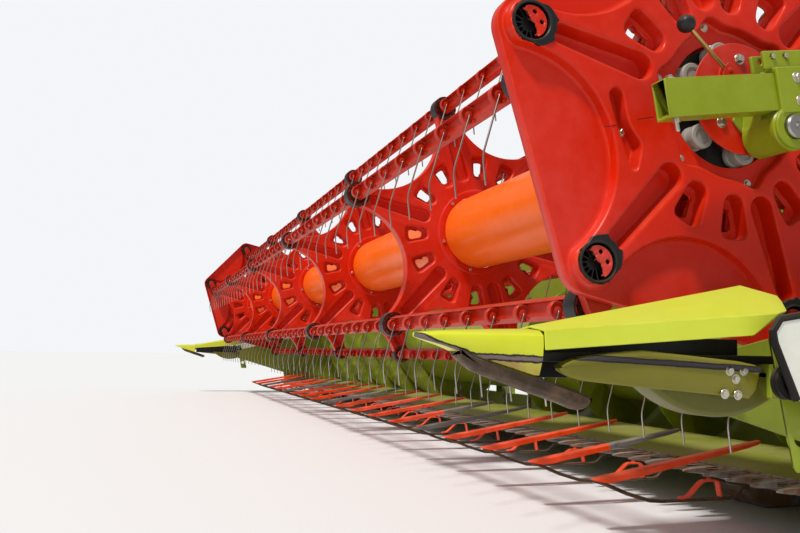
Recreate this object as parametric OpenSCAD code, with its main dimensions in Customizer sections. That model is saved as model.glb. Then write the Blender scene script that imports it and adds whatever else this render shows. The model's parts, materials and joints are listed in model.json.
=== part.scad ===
// Cutting header of a combine harvester: a grain table with knife, auger,
// crop lifters, side dividers and a six-bar pick-up reel.
// X runs across the machine (+X is its left side), the front is -Y, Z is up.
// The origin is on the floor, at the middle of the header's plan.

/* [Cutting width] */
// Distance between two guard fingers of the knife
guard_pitch = 76.2; // [70:0.1:84]
// Guard fingers along one section of the reel
section_guards = 16; // [12:2:20]
// Sections of the reel
sections = 5; // [3:1:7]
// Guard pitches from the end star of the reel to the side wall
end_guards = 2; // [2:1:3]

/* [Plan] */
// Front to back length of the header, divider tip to hitch
header_depth = 2300; // [2250:10:2500]
// Divider tip to the reel axis
tip_to_reel = 760; // [740:10:800]
// Reel axis back to the guard bar of the knife
reel_to_knife = 300; // [270:10:340]
// Guard bar back to the auger axis
knife_to_auger = 650; // [620:10:700]

/* [Reel] */
// Height of the reel axis over the floor
reel_z = 820; // [800:5:900]
// Radius of the circle that the tine bars run on
bar_circle_r = 450; // [430:5:460]
// Turn of the first tine bar from level
bar_phase = 47.1; // [0:0.1:59]
// Radius of the reel tube
reel_tube_r = 125; // [90:5:140]
// Wall of the reel tube
reel_tube_wall = 6; // [4:1:10]
// Radius of the reel shaft
reel_shaft_r = 22; // [18:1:26]
// Thickness of a star's sheet
star_sheet = 8; // [6:1:12]
// Depth of a star's rim
star_rim = 36; // [28:1:44]
// Width of a star's rim wall
star_wall = 8; // [6:1:10]
// Half width of a star's arm at the tip
star_tip_r = 40; // [38:1:42]

/* [Tine bars] */
// Height of a tine bar's channel
bar_h = 44; // [36:1:46]
// Depth of a tine bar's channel
bar_deep = 14; // [10:1:18]
// Sheet of a tine bar
bar_sheet = 4; // [3:0.5:6]
// Radius of the bar's journals in the stars
journal_r = 25; // [24:0.5:28]
// Radius of a tine's coil housing
coil_r = 16; // [13:1:20]
// Length of a tine's coil housing
coil_len = 16; // [12:1:24]
// Radius of the tine wire
tine_r = 2.6; // [2:0.1:4]
// Drop of the tine down to its knee
tine_upper = 132; // [110:1:140]
// Drop of the tine below its knee
tine_lower = 62; // [40:1:70]
// Forward lean of the tine down to its knee
tine_lean = 30; // [10:1:45]

/* [Control plates] */
// How far the plate's centre lies ahead of the reel axis
ecc_fore = 36; // [25:1:45]
// How far the plate's centre lies over the reel axis
ecc_up = 75; // [60:1:80]
// Depth of the plate at its star
plate_deep = 46; // [40:1:50]
// Depth of the plate at its edge
plate_lip = 24; // [20:1:28]
// Radius of the plate's corners
plate_corner_r = 60; // [54:1:66]
// Inner face of the plate, out from the end star
plate_out = 54; // [52:1:60]
// Radius of the plate's running ring
ring_r = 125; // [122:1:130]
// Radius of the black bearing housings in the plate
housing_r = 40; // [36:1:44]
// Radius of the crank pins
crank_pin_r = 12; // [9:1:16]

/* [Arms] */
// Middle of the arm, out from the end star
arm_out = 190; // [188:1:200]
// Width of the arm's tube
arm_w = 38; // [34:1:42]
// Height of the arm's tube
arm_h = 70; // [64:1:74]
// Wall of the arm's tube
arm_wall = 5; // [3:1:7]
// Rise of the arm towards its hinge
arm_slope = 9.5; // [8:0.5:10]
// Arm's middle line over the reel axis
arm_over = 70; // [68:1:80]
// Reach of the arm ahead of the reel axis
arm_front = 275; // [260:5:320]
// Wall of the sliding carriage
carriage_wall = 8; // [6:1:12]
// Length of the sliding carriage
carriage_len = 260; // [200:5:300]
// Radius of the hinge pins
hinge_pin_r = 16; // [12:1:20]

/* [Table] */
// Height of the knife over the floor
knife_z = 130; // [120:1:150]
// Outer radius of the auger's flights
flight_r = 320; // [300:5:325]
// Radius of the auger's tube
auger_tube_r = 200; // [160:5:210]
// Pitch of the auger's flights
flight_pitch = 520; // [450:10:600]
// Gap between the flights and the trough
trough_gap = 16; // [12:1:24]
// Thickness of the table's sheet
sheet = 4; // [3:0.5:6]
// Width of the feed opening
feed_w = 1300; // [1100:20:1500]
// Height of the feed opening
feed_h = 520; // [440:10:560]
// Side of the back frame's beams
beam = 100; // [80:5:110]
// Height of the top beam's upper face
beam_top = 1010; // [1000:5:1015]
// Height of the skid shoes
skid_h = 30; // [24:1:40]

/* [Crop lifters] */
// Guards from one lifter to the next
lifter_step = 4; // [3:1:6]
// Width of a lifter's bar
lifter_w = 30; // [24:1:40]
// Thickness of a lifter's bar
lifter_t = 8; // [6:1:10]
// Length of a lifter's bar
lifter_len = 475; // [440:5:500]
// Rise of a lifter's bar to the rear
lifter_rise = 10; // [8:0.5:12]

/* [Dividers] */
// Face of the side cover, out from the side wall
divider_out = 220; // [210:5:240]
// Width of a divider
divider_w = 95; // [85:5:105]
// Length of a divider's nose
nose_len = 180; // [165:5:190]
// Length of a divider's fairing behind the nose
fairing_len = 490; // [480:5:520]
// Divider tip to the peak of the fairing
peak_at = 594; // [580:2:610]
// Height of the fairing's peak over the tip
peak_up = 92; // [84:2:100]
// Height of the divider's tip
divider_tip_z = 424; // [410:2:440]
// Sheet of the side covers
cover_sheet = 5; // [4:1:8]

/* [Hidden] */
$fn = 48;

// Clearances
fit = 0.3;        // curved faces of a running fit
slack = 6;        // pieces that pass each other

// Places across the header
section = guard_pitch * section_guards;
star_x = section * sections / 2;
wall_x = star_x + guard_pitch * end_guards;
guards = round(2 * wall_x / guard_pitch);
edge_x = wall_x + divider_out;

// Places in the side view
front_y = -header_depth / 2;
back_y = header_depth / 2;
reel_y = front_y + tip_to_reel;
knife_y = reel_y + reel_to_knife;
auger_y = knife_y + knife_to_auger;
trough_r = flight_r + trough_gap;
auger_z = skid_h + 40 + sheet + trough_r;
panel_y = auger_y + trough_r + sheet;
hinge_y = panel_y + beam / 2;
cover_back = panel_y + beam - 10;
hinge_z = reel_z + arm_over + (hinge_y - reel_y) * tan(arm_slope);
tine_pitch = 2 * guard_pitch;
tines = sections * section_guards / 2;
plate_r = bar_circle_r;

// Maps a drawing in (y, z) with depth along x
module along_x(x = 0) {
    translate([x, 0, 0]) rotate([90, 0, 90]) children();
}

module side(left) {
    mirror([left ? 0 : 1, 0, 0]) children();
}

module at_reel() {
    translate([0, reel_y, reel_z]) children();
}

// Share of a circle's radius at which a straight side leaves it
blend = 0.985;

// Two circles joined by straight sides
module slot2d(p, rp, q, rq) {
    d = norm(q - p);
    dir = atan2(q.y - p.y, q.x - p.x);
    a = acos((rp - rq) / d);
    translate(p) circle(rp);
    translate(q) circle(rq);
    polygon([
        p + blend * rp * [cos(dir + a), sin(dir + a)], p + blend * rp * [cos(dir - a), sin(dir - a)],
        q + blend * rq * [cos(dir - a), sin(dir - a)], q + blend * rq * [cos(dir + a), sin(dir + a)]
    ]);
}

// Hexagon with round corners: corner centres on radius r
module round_hex(r, corner) {
    polygon([for (k = [0:5], s = [-30, 30])
        r * [cos(60 * k), sin(60 * k)] + blend * corner * [cos(60 * k + s), sin(60 * k + s)]]);
    for (k = [0:5]) rotate(60 * k) translate([r, 0]) circle(corner);
}

// Six-armed star: a hexagon with a round scallop cut from each side
module star2d(r, tip, reach, inset = 0) {
    // scallop that leaves the arm's half width at the tip and reaches in to the given radius
    half = tip - 5;
    d = (r * r - pow(half - reach, 2)) / (2 * (r * cos(30) + half - reach));
    difference() {
        round_hex(r, tip - inset);
        for (k = [0:5]) rotate(60 * k + 30) translate([d, 0]) circle(d - reach + inset);
    }
}

// Reel

// Shares of the bar circle that the stars and control plates are drawn by
scallop_in = 0.633;
channel_in = 0.46;
channel_rim = 62;
pocket_at = [0.47, 0.56];
pocket_turn = 12.4;

// Channel along an arm, and the two pockets between each pair of arms
module channel2d(r, grow = 0) {
    slot2d([channel_in * r, 0], 22 + grow, [r - channel_rim, 0], 17 + grow);
}
module pockets2d(r, grow = 0) {
    for (s = [-1, 1]) rotate(30 + pocket_turn * s)
        slot2d([pocket_at[0] * r, 0], 17 + grow, [pocket_at[1] * r, 0], 24 + grow);
}
module pocket_holes2d(r) {
    for (s = [-1, 1]) rotate(30 + pocket_turn * s)
        slot2d([pocket_at[0] * r + 8, 0], 8, [pocket_at[1] * r - 10, 0], 12);
}

hub_wall = 22;
module reel_star() {
    r = bar_circle_r;
    along_x(-star_rim / 2) difference() {
        linear_extrude(star_rim) star2d(r, star_tip_r, scallop_in * r);
        // hollow back: what is left is the skin, the channels' and pockets' walls and the hub
        translate([0, 0, -1]) linear_extrude(star_rim - star_sheet + 1) difference() {
            star2d(r, star_tip_r, scallop_in * r, star_wall);
            circle(reel_tube_r + hub_wall);
            for (k = [0:5]) rotate(60 * k) {
                channel2d(r, star_wall);
                pockets2d(r, star_wall);
                translate([r, 0]) circle(bearing_r + star_wall / 2);
            }
        }
        for (k = [0:5]) rotate(60 * k) {
            translate([0, 0, star_sheet]) linear_extrude(star_rim) channel2d(r);
            translate([0, 0, star_sheet]) linear_extrude(star_rim) pockets2d(r);
            translate([0, 0, -1]) linear_extrude(star_rim) pocket_holes2d(r);
            translate([r, 0, -1]) cylinder(h = star_rim + 2, r = bearing_r);
        }
        translate([0, 0, -1]) cylinder(h = star_rim + 2, r = reel_tube_r + fit);
    }
}

bearing_r = journal_r + 6;
module reel_stars() {
    color("orangered") at_reel() rotate([bar_phase, 0, 0])
        for (k = [0:sections]) translate([star_x - k * section, 0, 0]) reel_star();
}

module star_bearings() {
    color("dimgray") at_reel() rotate([bar_phase, 0, 0])
        for (k = [0:sections], n = [0:5])
            translate([star_x - k * section, 0, 0]) rotate([60 * n, 0, 0])
                translate([0, bar_circle_r, 0]) along_x(-star_rim / 2) difference() {
                    cylinder(h = star_rim, r = bearing_r - 0.02);
                    translate([0, 0, -1]) cylinder(h = star_rim + 2, r = journal_r + fit);
                }
}

module reel_tube() {
    color("darkorange") at_reel() along_x(-star_x - star_rim / 2) difference() {
        cylinder(h = 2 * star_x + star_rim, r = reel_tube_r);
        translate([0, 0, 12])
            cylinder(h = 2 * star_x + star_rim - 24, r = reel_tube_r - reel_tube_wall);
    }
}
shaft_end = arm_out + arm_w / 2 + carriage_wall + 6;
module reel_shafts() {
    color("silver") at_reel() for (s = [0, 1]) side(s) along_x(star_x + star_rim / 2)
        cylinder(h = shaft_end - star_rim / 2, r = reel_shaft_r);
}

// Tine bars: n counts them round the reel
function bar_yz(n) = [
    reel_y + bar_circle_r * cos(bar_phase + 60 * n),
    reel_z + bar_circle_r * sin(bar_phase + 60 * n)
];
crank_x = star_x + star_rim / 2 + 2 + slack;
crank_t = star_x + plate_out - slack - crank_x;
head_t = 8;

module bar_profile() {
    h = bar_h / 2;
    s = bar_sheet;
    polygon([
        [bar_deep / 2, -h], [-bar_deep / 2, -h * 0.55], [-bar_deep / 2, h * 0.5], [bar_deep / 2, h],
        [bar_deep / 2 + s, h - s], [s - bar_deep / 2, h * 0.5 - s / 2],
        [s - bar_deep / 2, s / 2 - h * 0.55], [bar_deep / 2 + s, s - h]
    ]);
}

module tine_bar(n) {
    p = bar_yz(n);
    color("red") translate([0, p.x, p.y]) {
        along_x(-crank_x) linear_extrude(2 * crank_x) bar_profile();
        for (k = [0:sections]) along_x(star_x - k * section - star_rim / 2 - 2)
            cylinder(h = star_rim + 4, r = journal_r);
        for (i = [0:tines - 1]) translate([tine_pitch * (i - (tines - 1) / 2), 0, 0])
            along_x(-coil_len) translate([-bar_deep / 2 - coil_r * 0.6, 0, 0])
                cylinder(h = coil_len, r = coil_r);
        for (s = [0, 1]) side(s) {
            along_x(crank_x) linear_extrude(crank_t)
                slot2d([0, 0], journal_r, [-ecc_fore, ecc_up], crank_pin_r + 8);
            along_x(crank_x + crank_t) translate([-ecc_fore, ecc_up, 0])
                cylinder(h = slack + plate_deep - head_t, r = crank_pin_r);
            // head of the crank pin
            along_x(star_x + plate_out + plate_deep - head_t) translate([-ecc_fore, ecc_up, 0])
                linear_extrude(head_t) difference() {
                    circle(2 * crank_pin_r);
                    for (t = [-1, 1]) translate([0, 0.9 * crank_pin_r * t]) circle(crank_pin_r / 3);
                }
        }
    }
}

module tine_set(n) {
    p = bar_yz(n);
    a1 = atan2(tine_lean, tine_upper);
    color("silver") translate([0, p.x - bar_deep / 2 - coil_r * 0.6, p.y])
        for (i = [0:tines - 1]) translate([tine_pitch * (i - (tines - 1) / 2) + tine_r + 0.2, 0, 0]) {
            rotate([180 - a1, 0, 0]) cylinder(h = norm([tine_upper, tine_lean]) + 2, r = tine_r);
            translate([0, -tine_lean, -tine_upper - tine_lower]) cylinder(h = tine_lower + 1, r = tine_r - 0.2);
        }
}
module tine_bar_1() { tine_bar(0); }
module tine_bar_2() { tine_bar(1); }
module tine_bar_3() { tine_bar(2); }
module tine_bar_4() { tine_bar(3); }
module tine_bar_5() { tine_bar(4); }
module tine_bar_6() { tine_bar(5); }
module tines_1() { tine_set(0); }
module tines_2() { tine_set(1); }
module tines_3() { tine_set(2); }
module tines_4() { tine_set(3); }
module tines_5() { tine_set(4); }
module tines_6() { tine_set(5); }

// Control plates

plate_bore = crank_pin_r + fit;
plate_skin = 5;
recess_r = ring_r + 43;
recess_t = plate_deep - plate_lip;
module at_plate() {
    at_reel() translate([0, -ecc_fore, ecc_up]) children();
}

module control_plate() {
    r = plate_r;
    rim = housing_r + 10;
    at_plate() rotate([bar_phase, 0, 0]) along_x(star_x + plate_out) difference() {
        linear_extrude(plate_deep) round_hex(r, plate_corner_r);
        // fields between the arms lie lower than the star
        translate([0, 0, plate_lip]) linear_extrude(plate_deep) difference() {
            circle(r + 2 * plate_corner_r);
            star2d(r, rim, scallop_in * r);
        }
        // hollow back of the fields
        translate([0, 0, -1]) linear_extrude(plate_lip - plate_skin + 1) difference() {
            round_hex(r, plate_corner_r - plate_skin);
            star2d(r, rim, scallop_in * r, -plate_skin);
        }
        for (k = [0:5]) rotate(60 * k) {
            translate([0, 0, plate_skin]) linear_extrude(plate_deep) channel2d(r);
            translate([0, 0, plate_skin]) linear_extrude(plate_deep) pockets2d(r);
            translate([0, 0, -1]) linear_extrude(plate_deep) pocket_holes2d(r);
            translate([r, 0, -1]) cylinder(h = plate_deep + 2, r = housing_r);
        }
        // recess round the running ring
        translate([0, 0, plate_deep - recess_t]) cylinder(h = plate_deep, r = recess_r);
        translate([0, 0, -1]) cylinder(h = plate_deep + 2, r = ring_r);
    }
}

module plate_bearings() {
    ring = crank_pin_r + 7;
    floor_t = 16;
    ribs = 8;
    at_plate() for (n = [0:5])
        rotate([bar_phase + 60 * n, 0, 0]) translate([0, plate_r, 0])
            along_x(star_x + plate_out) difference() {
                union() {
                    cylinder(h = plate_deep + 3, r = housing_r - 0.02);
                    // shoulders that lie on the arm
                    translate([0, 0, plate_deep]) linear_extrude(3) polygon([
                        [6, -housing_r + 2], [-housing_r - 4, -housing_r - 1], [-housing_r - 12, -housing_r + 12],
                        [-housing_r - 12, housing_r - 12], [-housing_r - 4, housing_r + 1], [6, housing_r - 2]
                    ]);
                }
                translate([0, 0, -1]) cylinder(h = plate_deep + 5, r = plate_bore);
                translate([0, 0, floor_t]) difference() {
                    cylinder(h = plate_deep, r = housing_r - 6);
                    cylinder(h = plate_deep - floor_t - head_t - 4, r = ring);
                    for (q = [0:ribs - 1]) rotate(360 / ribs * q) translate([ring - 1, -1.5, -1])
                        cube([housing_r - ring, 3, plate_deep - floor_t - head_t - 4]);
                }
            }
}
module control_plate_left() { color("orangered") side(1) control_plate(); }
module control_plate_right() { color("orangered") side(0) control_plate(); }
module plate_bearings_left() { color("dimgray") side(1) plate_bearings(); }
module plate_bearings_right() { color("dimgray") side(0) plate_bearings(); }

// Eccentric disc and the rollers that carry the control plate

roller_r = 25;
disc_r = ring_r - 29;
disc_t = 12;
disc_out = plate_out + plate_deep + slack;
module eccentric() {
    away = atan2(-ecc_up, ecc_fore);
    orbit = ring_r - roller_r - fit;
    pin = 7;
    at_plate() along_x(star_x) {
        difference() {
            translate([0, 0, disc_out]) cylinder(h = disc_t, r = disc_r);
            translate([ecc_fore, -ecc_up, 0]) cylinder(h = 3 * disc_out, r = reel_shaft_r + slack);
        }
        for (k = [1:5]) rotate(away + 60 * k) {
            translate([orbit, 0, plate_out + 4]) cylinder(h = plate_deep - 8, r = roller_r);
            translate([disc_r - pin - 4, 0, plate_out + 2]) cylinder(h = disc_out + disc_t / 2 - plate_out, r = pin);
        }
    }
}
module eccentric_left() { color("firebrick") side(1) eccentric(); }
module eccentric_right() { color("firebrick") side(0) eccentric(); }

// Arm, hinged at the rear, and the carriage that slides on it

arm_len = (hinge_y - reel_y) / cos(arm_slope) + arm_front + 45;
module on_arm() {
    translate([star_x + arm_out, reel_y, reel_z + arm_over]) rotate([arm_slope, 0, 0]) children();
}
hinge_at = (hinge_y - reel_y) / cos(arm_slope);
ram_up = arm_h / 2 + carriage_wall + 24;
ram_r = 20;
ram_rod_r = 10;
ram_back = 440;
ram_barrel = 480;
lug_at = 599;
lug_drop = 38;
lug_pin_r = 9.9;
module arm() {
    on_arm() difference() {
        union() {
            translate([-arm_w / 2, -arm_front, -arm_h / 2]) difference() {
                cube([arm_w, arm_len, arm_h]);
                translate([arm_wall, -1, arm_wall])
                    cube([arm_w - 2 * arm_wall, arm_len + 2, arm_h - 2 * arm_wall]);
            }
            // sleeve at the hinge
            translate([-arm_w / 2 - 10, hinge_at, 0]) along_x()
                cylinder(h = arm_w + 20, r = hinge_pin_r + 12);
            // barrel of the ram that moves the carriage, and its foot
            translate([0, ram_back, ram_up]) rotate([-90, 0, 0]) cylinder(h = ram_barrel, r = ram_r);
            translate([-10, ram_back + ram_barrel - 60, arm_h / 2 - 1]) cube([20, 60, ram_up - arm_h / 2]);
        }
        translate([-arm_w, hinge_at, 0]) along_x() cylinder(h = 2 * arm_w, r = hinge_pin_r + fit);
        translate([0, ram_back - 1, ram_up]) rotate([-90, 0, 0])
            cylinder(h = ram_barrel - 10, r = ram_rod_r + fit);
    }
    // lug and pin for the lift cylinder
    on_arm() translate([-8, lug_at - 40, -arm_h / 2 - lug_drop - 14]) difference() {
        cube([16, 80, lug_drop + 14.5]);
        translate([-1, 40, 14]) along_x() cylinder(h = 18, r = lug_pin_r + 0.1);
    }
    on_arm() translate([-26, lug_at, -arm_h / 2 - lug_drop]) along_x() cylinder(h = 52, r = lug_pin_r);
}

sleeve_front = 34;
bearing_out = disc_out + disc_t + slack;
module carriage() {
    w = arm_w / 2 + 0.5;
    g = arm_h / 2 + 0.5;
    h = carriage_wall;
    difference() {
        union() {
            on_arm() {
                translate([-w - h, -sleeve_front, -g - h]) cube([2 * (w + h), carriage_len, 2 * (g + h)]);
                // lug plates for the ram
                for (s = [-1, 1]) translate([s * 15 - 4, -sleeve_front - 16, g + h - 0.5]) difference() {
                    cube([8, 110, 34]);
                    for (y = [20, 50]) translate([-1, y, 22]) along_x() cylinder(h = 10, r = 5);
                }
            }
            // bearing of the reel shaft under the sleeve
            at_reel() {
                along_x(star_x + bearing_out) cylinder(h = shaft_end - 8 - bearing_out, r = 40);
                along_x(star_x + bearing_out) linear_extrude(arm_out - w - bearing_out)
                    polygon([[-38, 0], [38, 0], [48, arm_over], [-30, arm_over]]);
                // plate that carries the eccentric disc
                along_x(star_x + disc_out + disc_t) linear_extrude(slack + 1)
                    polygon([[-58, 30], [10, -36], [40, 0], [44, 90], [-40, 96]]);
            }
        }
        at_reel() along_x(star_x) cylinder(h = 2 * arm_out, r = reel_shaft_r + fit);
        on_arm() translate([-w, -carriage_len, -g]) cube([2 * w, 3 * carriage_len, 2 * g]);
    }
    // rod of the ram and its pin
    on_arm() translate([0, 30, ram_up]) rotate([-90, 0, 0]) cylinder(h = ram_back + 190, r = ram_rod_r);
    on_arm() translate([-19, 46, ram_up]) along_x() cylinder(h = 38, r = 8);
}

// Ball-ended lever that sets the tines' angle, on the left eccentric
module rod(p, q, r) {
    d = q - p;
    translate(p) rotate([0, acos(d.z / norm(d)), atan2(d.y, d.x)]) cylinder(h = norm(d), r = r);
}
module depth_lever() {
    foot = [star_x + disc_out + disc_t, reel_y - ecc_fore - 34, reel_z + ecc_up + 50];
    ball = foot + [50, -126, 60];
    color("gold") {
        translate(foot + [0, -16, -14]) cube([16, 32, 28]);
        rod(foot + [8, 0, 0], ball, 4.5);
        translate(ball) sphere(17);
    }
}
module arm_left() { color("yellowgreen") side(1) arm(); }
module arm_right() { color("yellowgreen") side(0) arm(); }
module carriage_left() { color("yellowgreen") side(1) carriage(); }
module carriage_right() { color("yellowgreen") side(0) carriage(); }

// Lift cylinders, under the arms and outside the side walls

ram_foot = [auger_y - 110, auger_z + 60];
arm_pin = [
    reel_y + lug_at * cos(arm_slope) + (arm_h / 2 + lug_drop) * sin(arm_slope),
    reel_z + arm_over + lug_at * sin(arm_slope) - (arm_h / 2 + lug_drop) * cos(arm_slope)
];
ram_dir = atan2(arm_pin.y - ram_foot.y, arm_pin.x - ram_foot.x);
ram_len = norm(arm_pin - ram_foot);
barrel_r = 24;
rod_r = 12;
pin_r = 12;
module on_ram() {
    translate([star_x + arm_out, ram_foot.x, ram_foot.y]) rotate([ram_dir - 90, 0, 0]) children();
}
module lift_barrel() {
    on_ram() difference() {
        union() {
            cylinder(h = ram_len - 70, r = barrel_r);
            translate([-22, 0, 0]) along_x() cylinder(h = 44, r = 26);
        }
        translate([-50, 0, 0]) along_x() cylinder(h = 100, r = pin_r + fit);
        translate([0, 0, 40]) cylinder(h = ram_len, r = rod_r + fit);
    }
}
eye_slack = 7;
eye_r = lug_pin_r + eye_slack;
module lift_rod() {
    on_ram() {
        translate([0, 0, 60]) cylinder(h = ram_len - 60 - 34, r = rod_r);
        translate([0, 0, ram_len]) for (s = [-1, 1]) difference() {
            translate([s * 17 - 4, 0, 0]) union() {
                along_x() cylinder(h = 8, r = eye_r + 9);
                translate([0, -13, -44]) cube([8, 26, 40]);
            }
            translate([-50, 0, 0]) along_x() cylinder(h = 100, r = eye_r);
        }
        translate([-21, -13, ram_len - 46]) cube([42, 26, 12]);
    }
}
module lift_barrel_left() { color("dimgray") side(1) lift_barrel(); }
module lift_barrel_right() { color("dimgray") side(0) lift_barrel(); }
module lift_rod_left() { color("silver") side(1) lift_rod(); }
module lift_rod_right() { color("silver") side(0) lift_rod(); }

// Table

module back_frame() {
    wide = star_x + arm_out + 80;
    bracket_t = 12;
    outer = wall_x + sheet;
    color("yellowgreen") {
        translate([-wide, panel_y, beam_top - beam]) cube([2 * wide, beam, beam]);
        translate([-outer, panel_y, skid_h]) cube([2 * outer, beam, beam]);
        for (x = [-outer, -feed_w / 2 - beam, feed_w / 2, outer - beam])
            translate([x, panel_y, skid_h + beam]) cube([beam, beam, beam_top - 2 * beam - skid_h]);
        // hinge brackets of the arms, and their pins
        for (s = [0, 1]) side(s) {
            for (t = [-1, 1]) translate([star_x + arm_out + t * (arm_w / 2 + 22) - bracket_t / 2, panel_y, beam_top])
                cube([bracket_t, beam, hinge_z - beam_top + 34]);
            translate([0, hinge_y, hinge_z]) along_x(star_x + arm_out - arm_w / 2 - 34)
                cylinder(h = arm_w + 68, r = hinge_pin_r);
        }
        // hitch hooks
        for (s = [-1, 1]) translate([s * feed_w / 2 - 20, panel_y + beam, beam_top - beam])
            cube([40, back_y - panel_y - beam, 60]);
    }
}

module back_panel() {
    color("olivedrab") difference() {
        translate([-wall_x, panel_y - sheet, auger_z]) cube([2 * wall_x, sheet, beam_top - auger_z]);
        translate([-feed_w / 2, panel_y - sheet - 1, auger_z - 1]) cube([feed_w, sheet + 2, feed_h / 2 + 1]);
    }
}

prow_z = divider_tip_z - 44;
ramp_y = auger_y - trough_r * 0.55;
ramp_z = auger_z - sqrt(trough_r * trough_r - pow(trough_r * 0.55, 2));
module table_trough() {
    color("yellowgreen") difference() {
        along_x(-wall_x) linear_extrude(2 * wall_x) {
            difference() {
                translate([auger_y, auger_z]) circle(trough_r + sheet, $fn = 96);
                translate([auger_y, auger_z]) circle(trough_r, $fn = 96);
                translate([auger_y - 2 * trough_r, auger_z]) square(4 * trough_r);
                translate([ramp_y - trough_r, 0]) square([trough_r, auger_z]);
            }
            polygon([
                [knife_y + 30, knife_z - 20], [knife_y + 30, knife_z - 20 + sheet],
                [ramp_y + 2, ramp_z + 2], [ramp_y + 2, ramp_z - sheet + 1]
            ]);
        }
        translate([-feed_w / 2, auger_y + trough_r / 2, auger_z - feed_h / 2]) cube([feed_w, trough_r, feed_h]);
    }
}

module side_wall() {
    difference() {
        union() {
            along_x(wall_x) linear_extrude(sheet) polygon([
                [knife_y - 60, knife_z - 50], [knife_y - 60, knife_z + 60], [front_y + 560, prow_z - 60],
                [front_y + 600, prow_z + 20], [reel_y + 420, 540], [panel_y - 140, beam_top],
                [panel_y, beam_top], [panel_y, skid_h], [knife_y + 200, skid_h]
            ]);
            // bearing of the auger
            translate([0, auger_y, auger_z]) along_x(wall_x + sheet) cylinder(h = auger_boss, r = auger_shaft_r + 20);
        }
        translate([0, auger_y, auger_z]) along_x(wall_x - 1) cylinder(h = 60, r = auger_shaft_r + fit);
    }
}
module side_wall_left() { color("yellowgreen") side(1) side_wall(); }
module side_wall_right() { color("yellowgreen") side(0) side_wall(); }

// Stays that carry the side cover, with its hinge pins, and the foot pin of the lift cylinder
hinge_x = edge_x - 9;
knuckle_r = 8;
knuckle_h = 40;
stay_h = 30;
hinge_heights = [auger_z - 70, auger_z + 190];
module cover_stays() {
    root = wall_x + sheet;
    translate([root, reel_y + 60, prow_z + 30]) cube([edge_x - cover_sheet - root, 40, stay_h]);
    for (z = hinge_heights) {
        translate([root, cover_back - 10, z]) cube([hinge_x + knuckle_r / 2 + 2 - root, 20, stay_h]);
        translate([hinge_x, cover_back, z + stay_h - 1]) cylinder(h = knuckle_h + 8, r = knuckle_r / 2);
    }
    translate([0, ram_foot.x, ram_foot.y]) along_x(root) cylinder(h = star_x + arm_out + 30 - root, r = pin_r);
}
module cover_stays_left() { color("yellowgreen") side(1) cover_stays(); }
module cover_stays_right() { color("yellowgreen") side(0) cover_stays(); }

guard_x = function (j) guard_pitch * (j + 0.5 - guards / 2);
module knife_guards() {
    color("dimgray") {
        translate([-wall_x, knife_y - 10, knife_z - 34]) cube([2 * wall_x, 60, 10]);
        for (j = [0:guards - 1]) translate([guard_x(j) - 9, 0, 0]) rotate([90, 0, 90])
            linear_extrude(18) polygon([
                [knife_y + 30, knife_z - 24], [knife_y - 100, knife_z - 14], [knife_y - 130, knife_z - 10],
                [knife_y - 100, knife_z - 3], [knife_y - 30, knife_z - 1], [knife_y - 30, knife_z - 5.5],
                [knife_y - 64, knife_z - 5.5], [knife_y - 64, knife_z - 12], [knife_y + 30, knife_z - 12]
            ]);
    }
}

module knife_sections() {
    color("silver") {
        translate([-wall_x + 50, knife_y + 4, knife_z - 12 + fit]) cube([2 * wall_x - 100, 22, 6]);
        for (j = [0:guards - 2]) translate([guard_x(j) + guard_pitch / 2, knife_y + 4, knife_z - 12 + fit])
            linear_extrude(4) polygon([[-guard_pitch * 0.46, 1], [guard_pitch * 0.46, 1], [8, -60], [-8, -60]]);
    }
}

// Crop lifters: red and grey ones, as they sit along the knife
lifters = floor((guards - 4) / lifter_step) - 1;
grey = [2, 5, 9, 14];
function is_grey(i) = len(search(i, grey)) > 0;
lifter_front = 432;
module lifter(j) {
    tip = [knife_y - lifter_front, knife_z - 14];
    rear = tip + lifter_len * [cos(lifter_rise), sin(lifter_rise)];
    foot = knife_z - 34;
    translate([guard_x(j), 0, 0]) rotate([90, 0, 90]) {
        translate([0, 0, -lifter_w / 2]) linear_extrude(lifter_w)
            polygon([tip, tip + [-4, 6], rear, rear + [2, -lifter_t]]);
        // spring arm under the bar, back to the guard bar
        translate([0, 0, -6]) linear_extrude(12) polygon([
            tip + [6, 3], tip + [35, 8], [tip.x + 170, foot - 26], [knife_y - 45, foot - 26],
            [knife_y - 20, foot], [knife_y + 20, foot], [knife_y + 20, foot - 8], [knife_y - 15, foot - 8],
            [knife_y - 40, foot - 36], [tip.x + 165, foot - 36], tip + [20, -4]
        ]);
    }
}
function lifter_guard(i) = 2 + (i + 1) * lifter_step;
module lifters_red() {
    color("red") for (i = [0:lifters - 1]) if (!is_grey(i)) lifter(lifter_guard(i));
}
module lifters_grey() {
    color("gray") for (i = [0:lifters - 1]) if (is_grey(i)) lifter(lifter_guard(i));
}

module skid_shoes() {
    color("dimgray") for (x = [-0.8, -0.3, 0.3, 0.8]) along_x(x * wall_x - 60) linear_extrude(120) polygon([
        [knife_y + 120, skid_h + 30], [knife_y + 200, 0], [panel_y + beam, 0], [panel_y + beam, skid_h],
        [auger_y + 60, skid_h], [auger_y, skid_h + 40], [auger_y - 60, skid_h + 38], [knife_y + 220, skid_h + 40]
    ]);
}

// Auger

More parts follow.
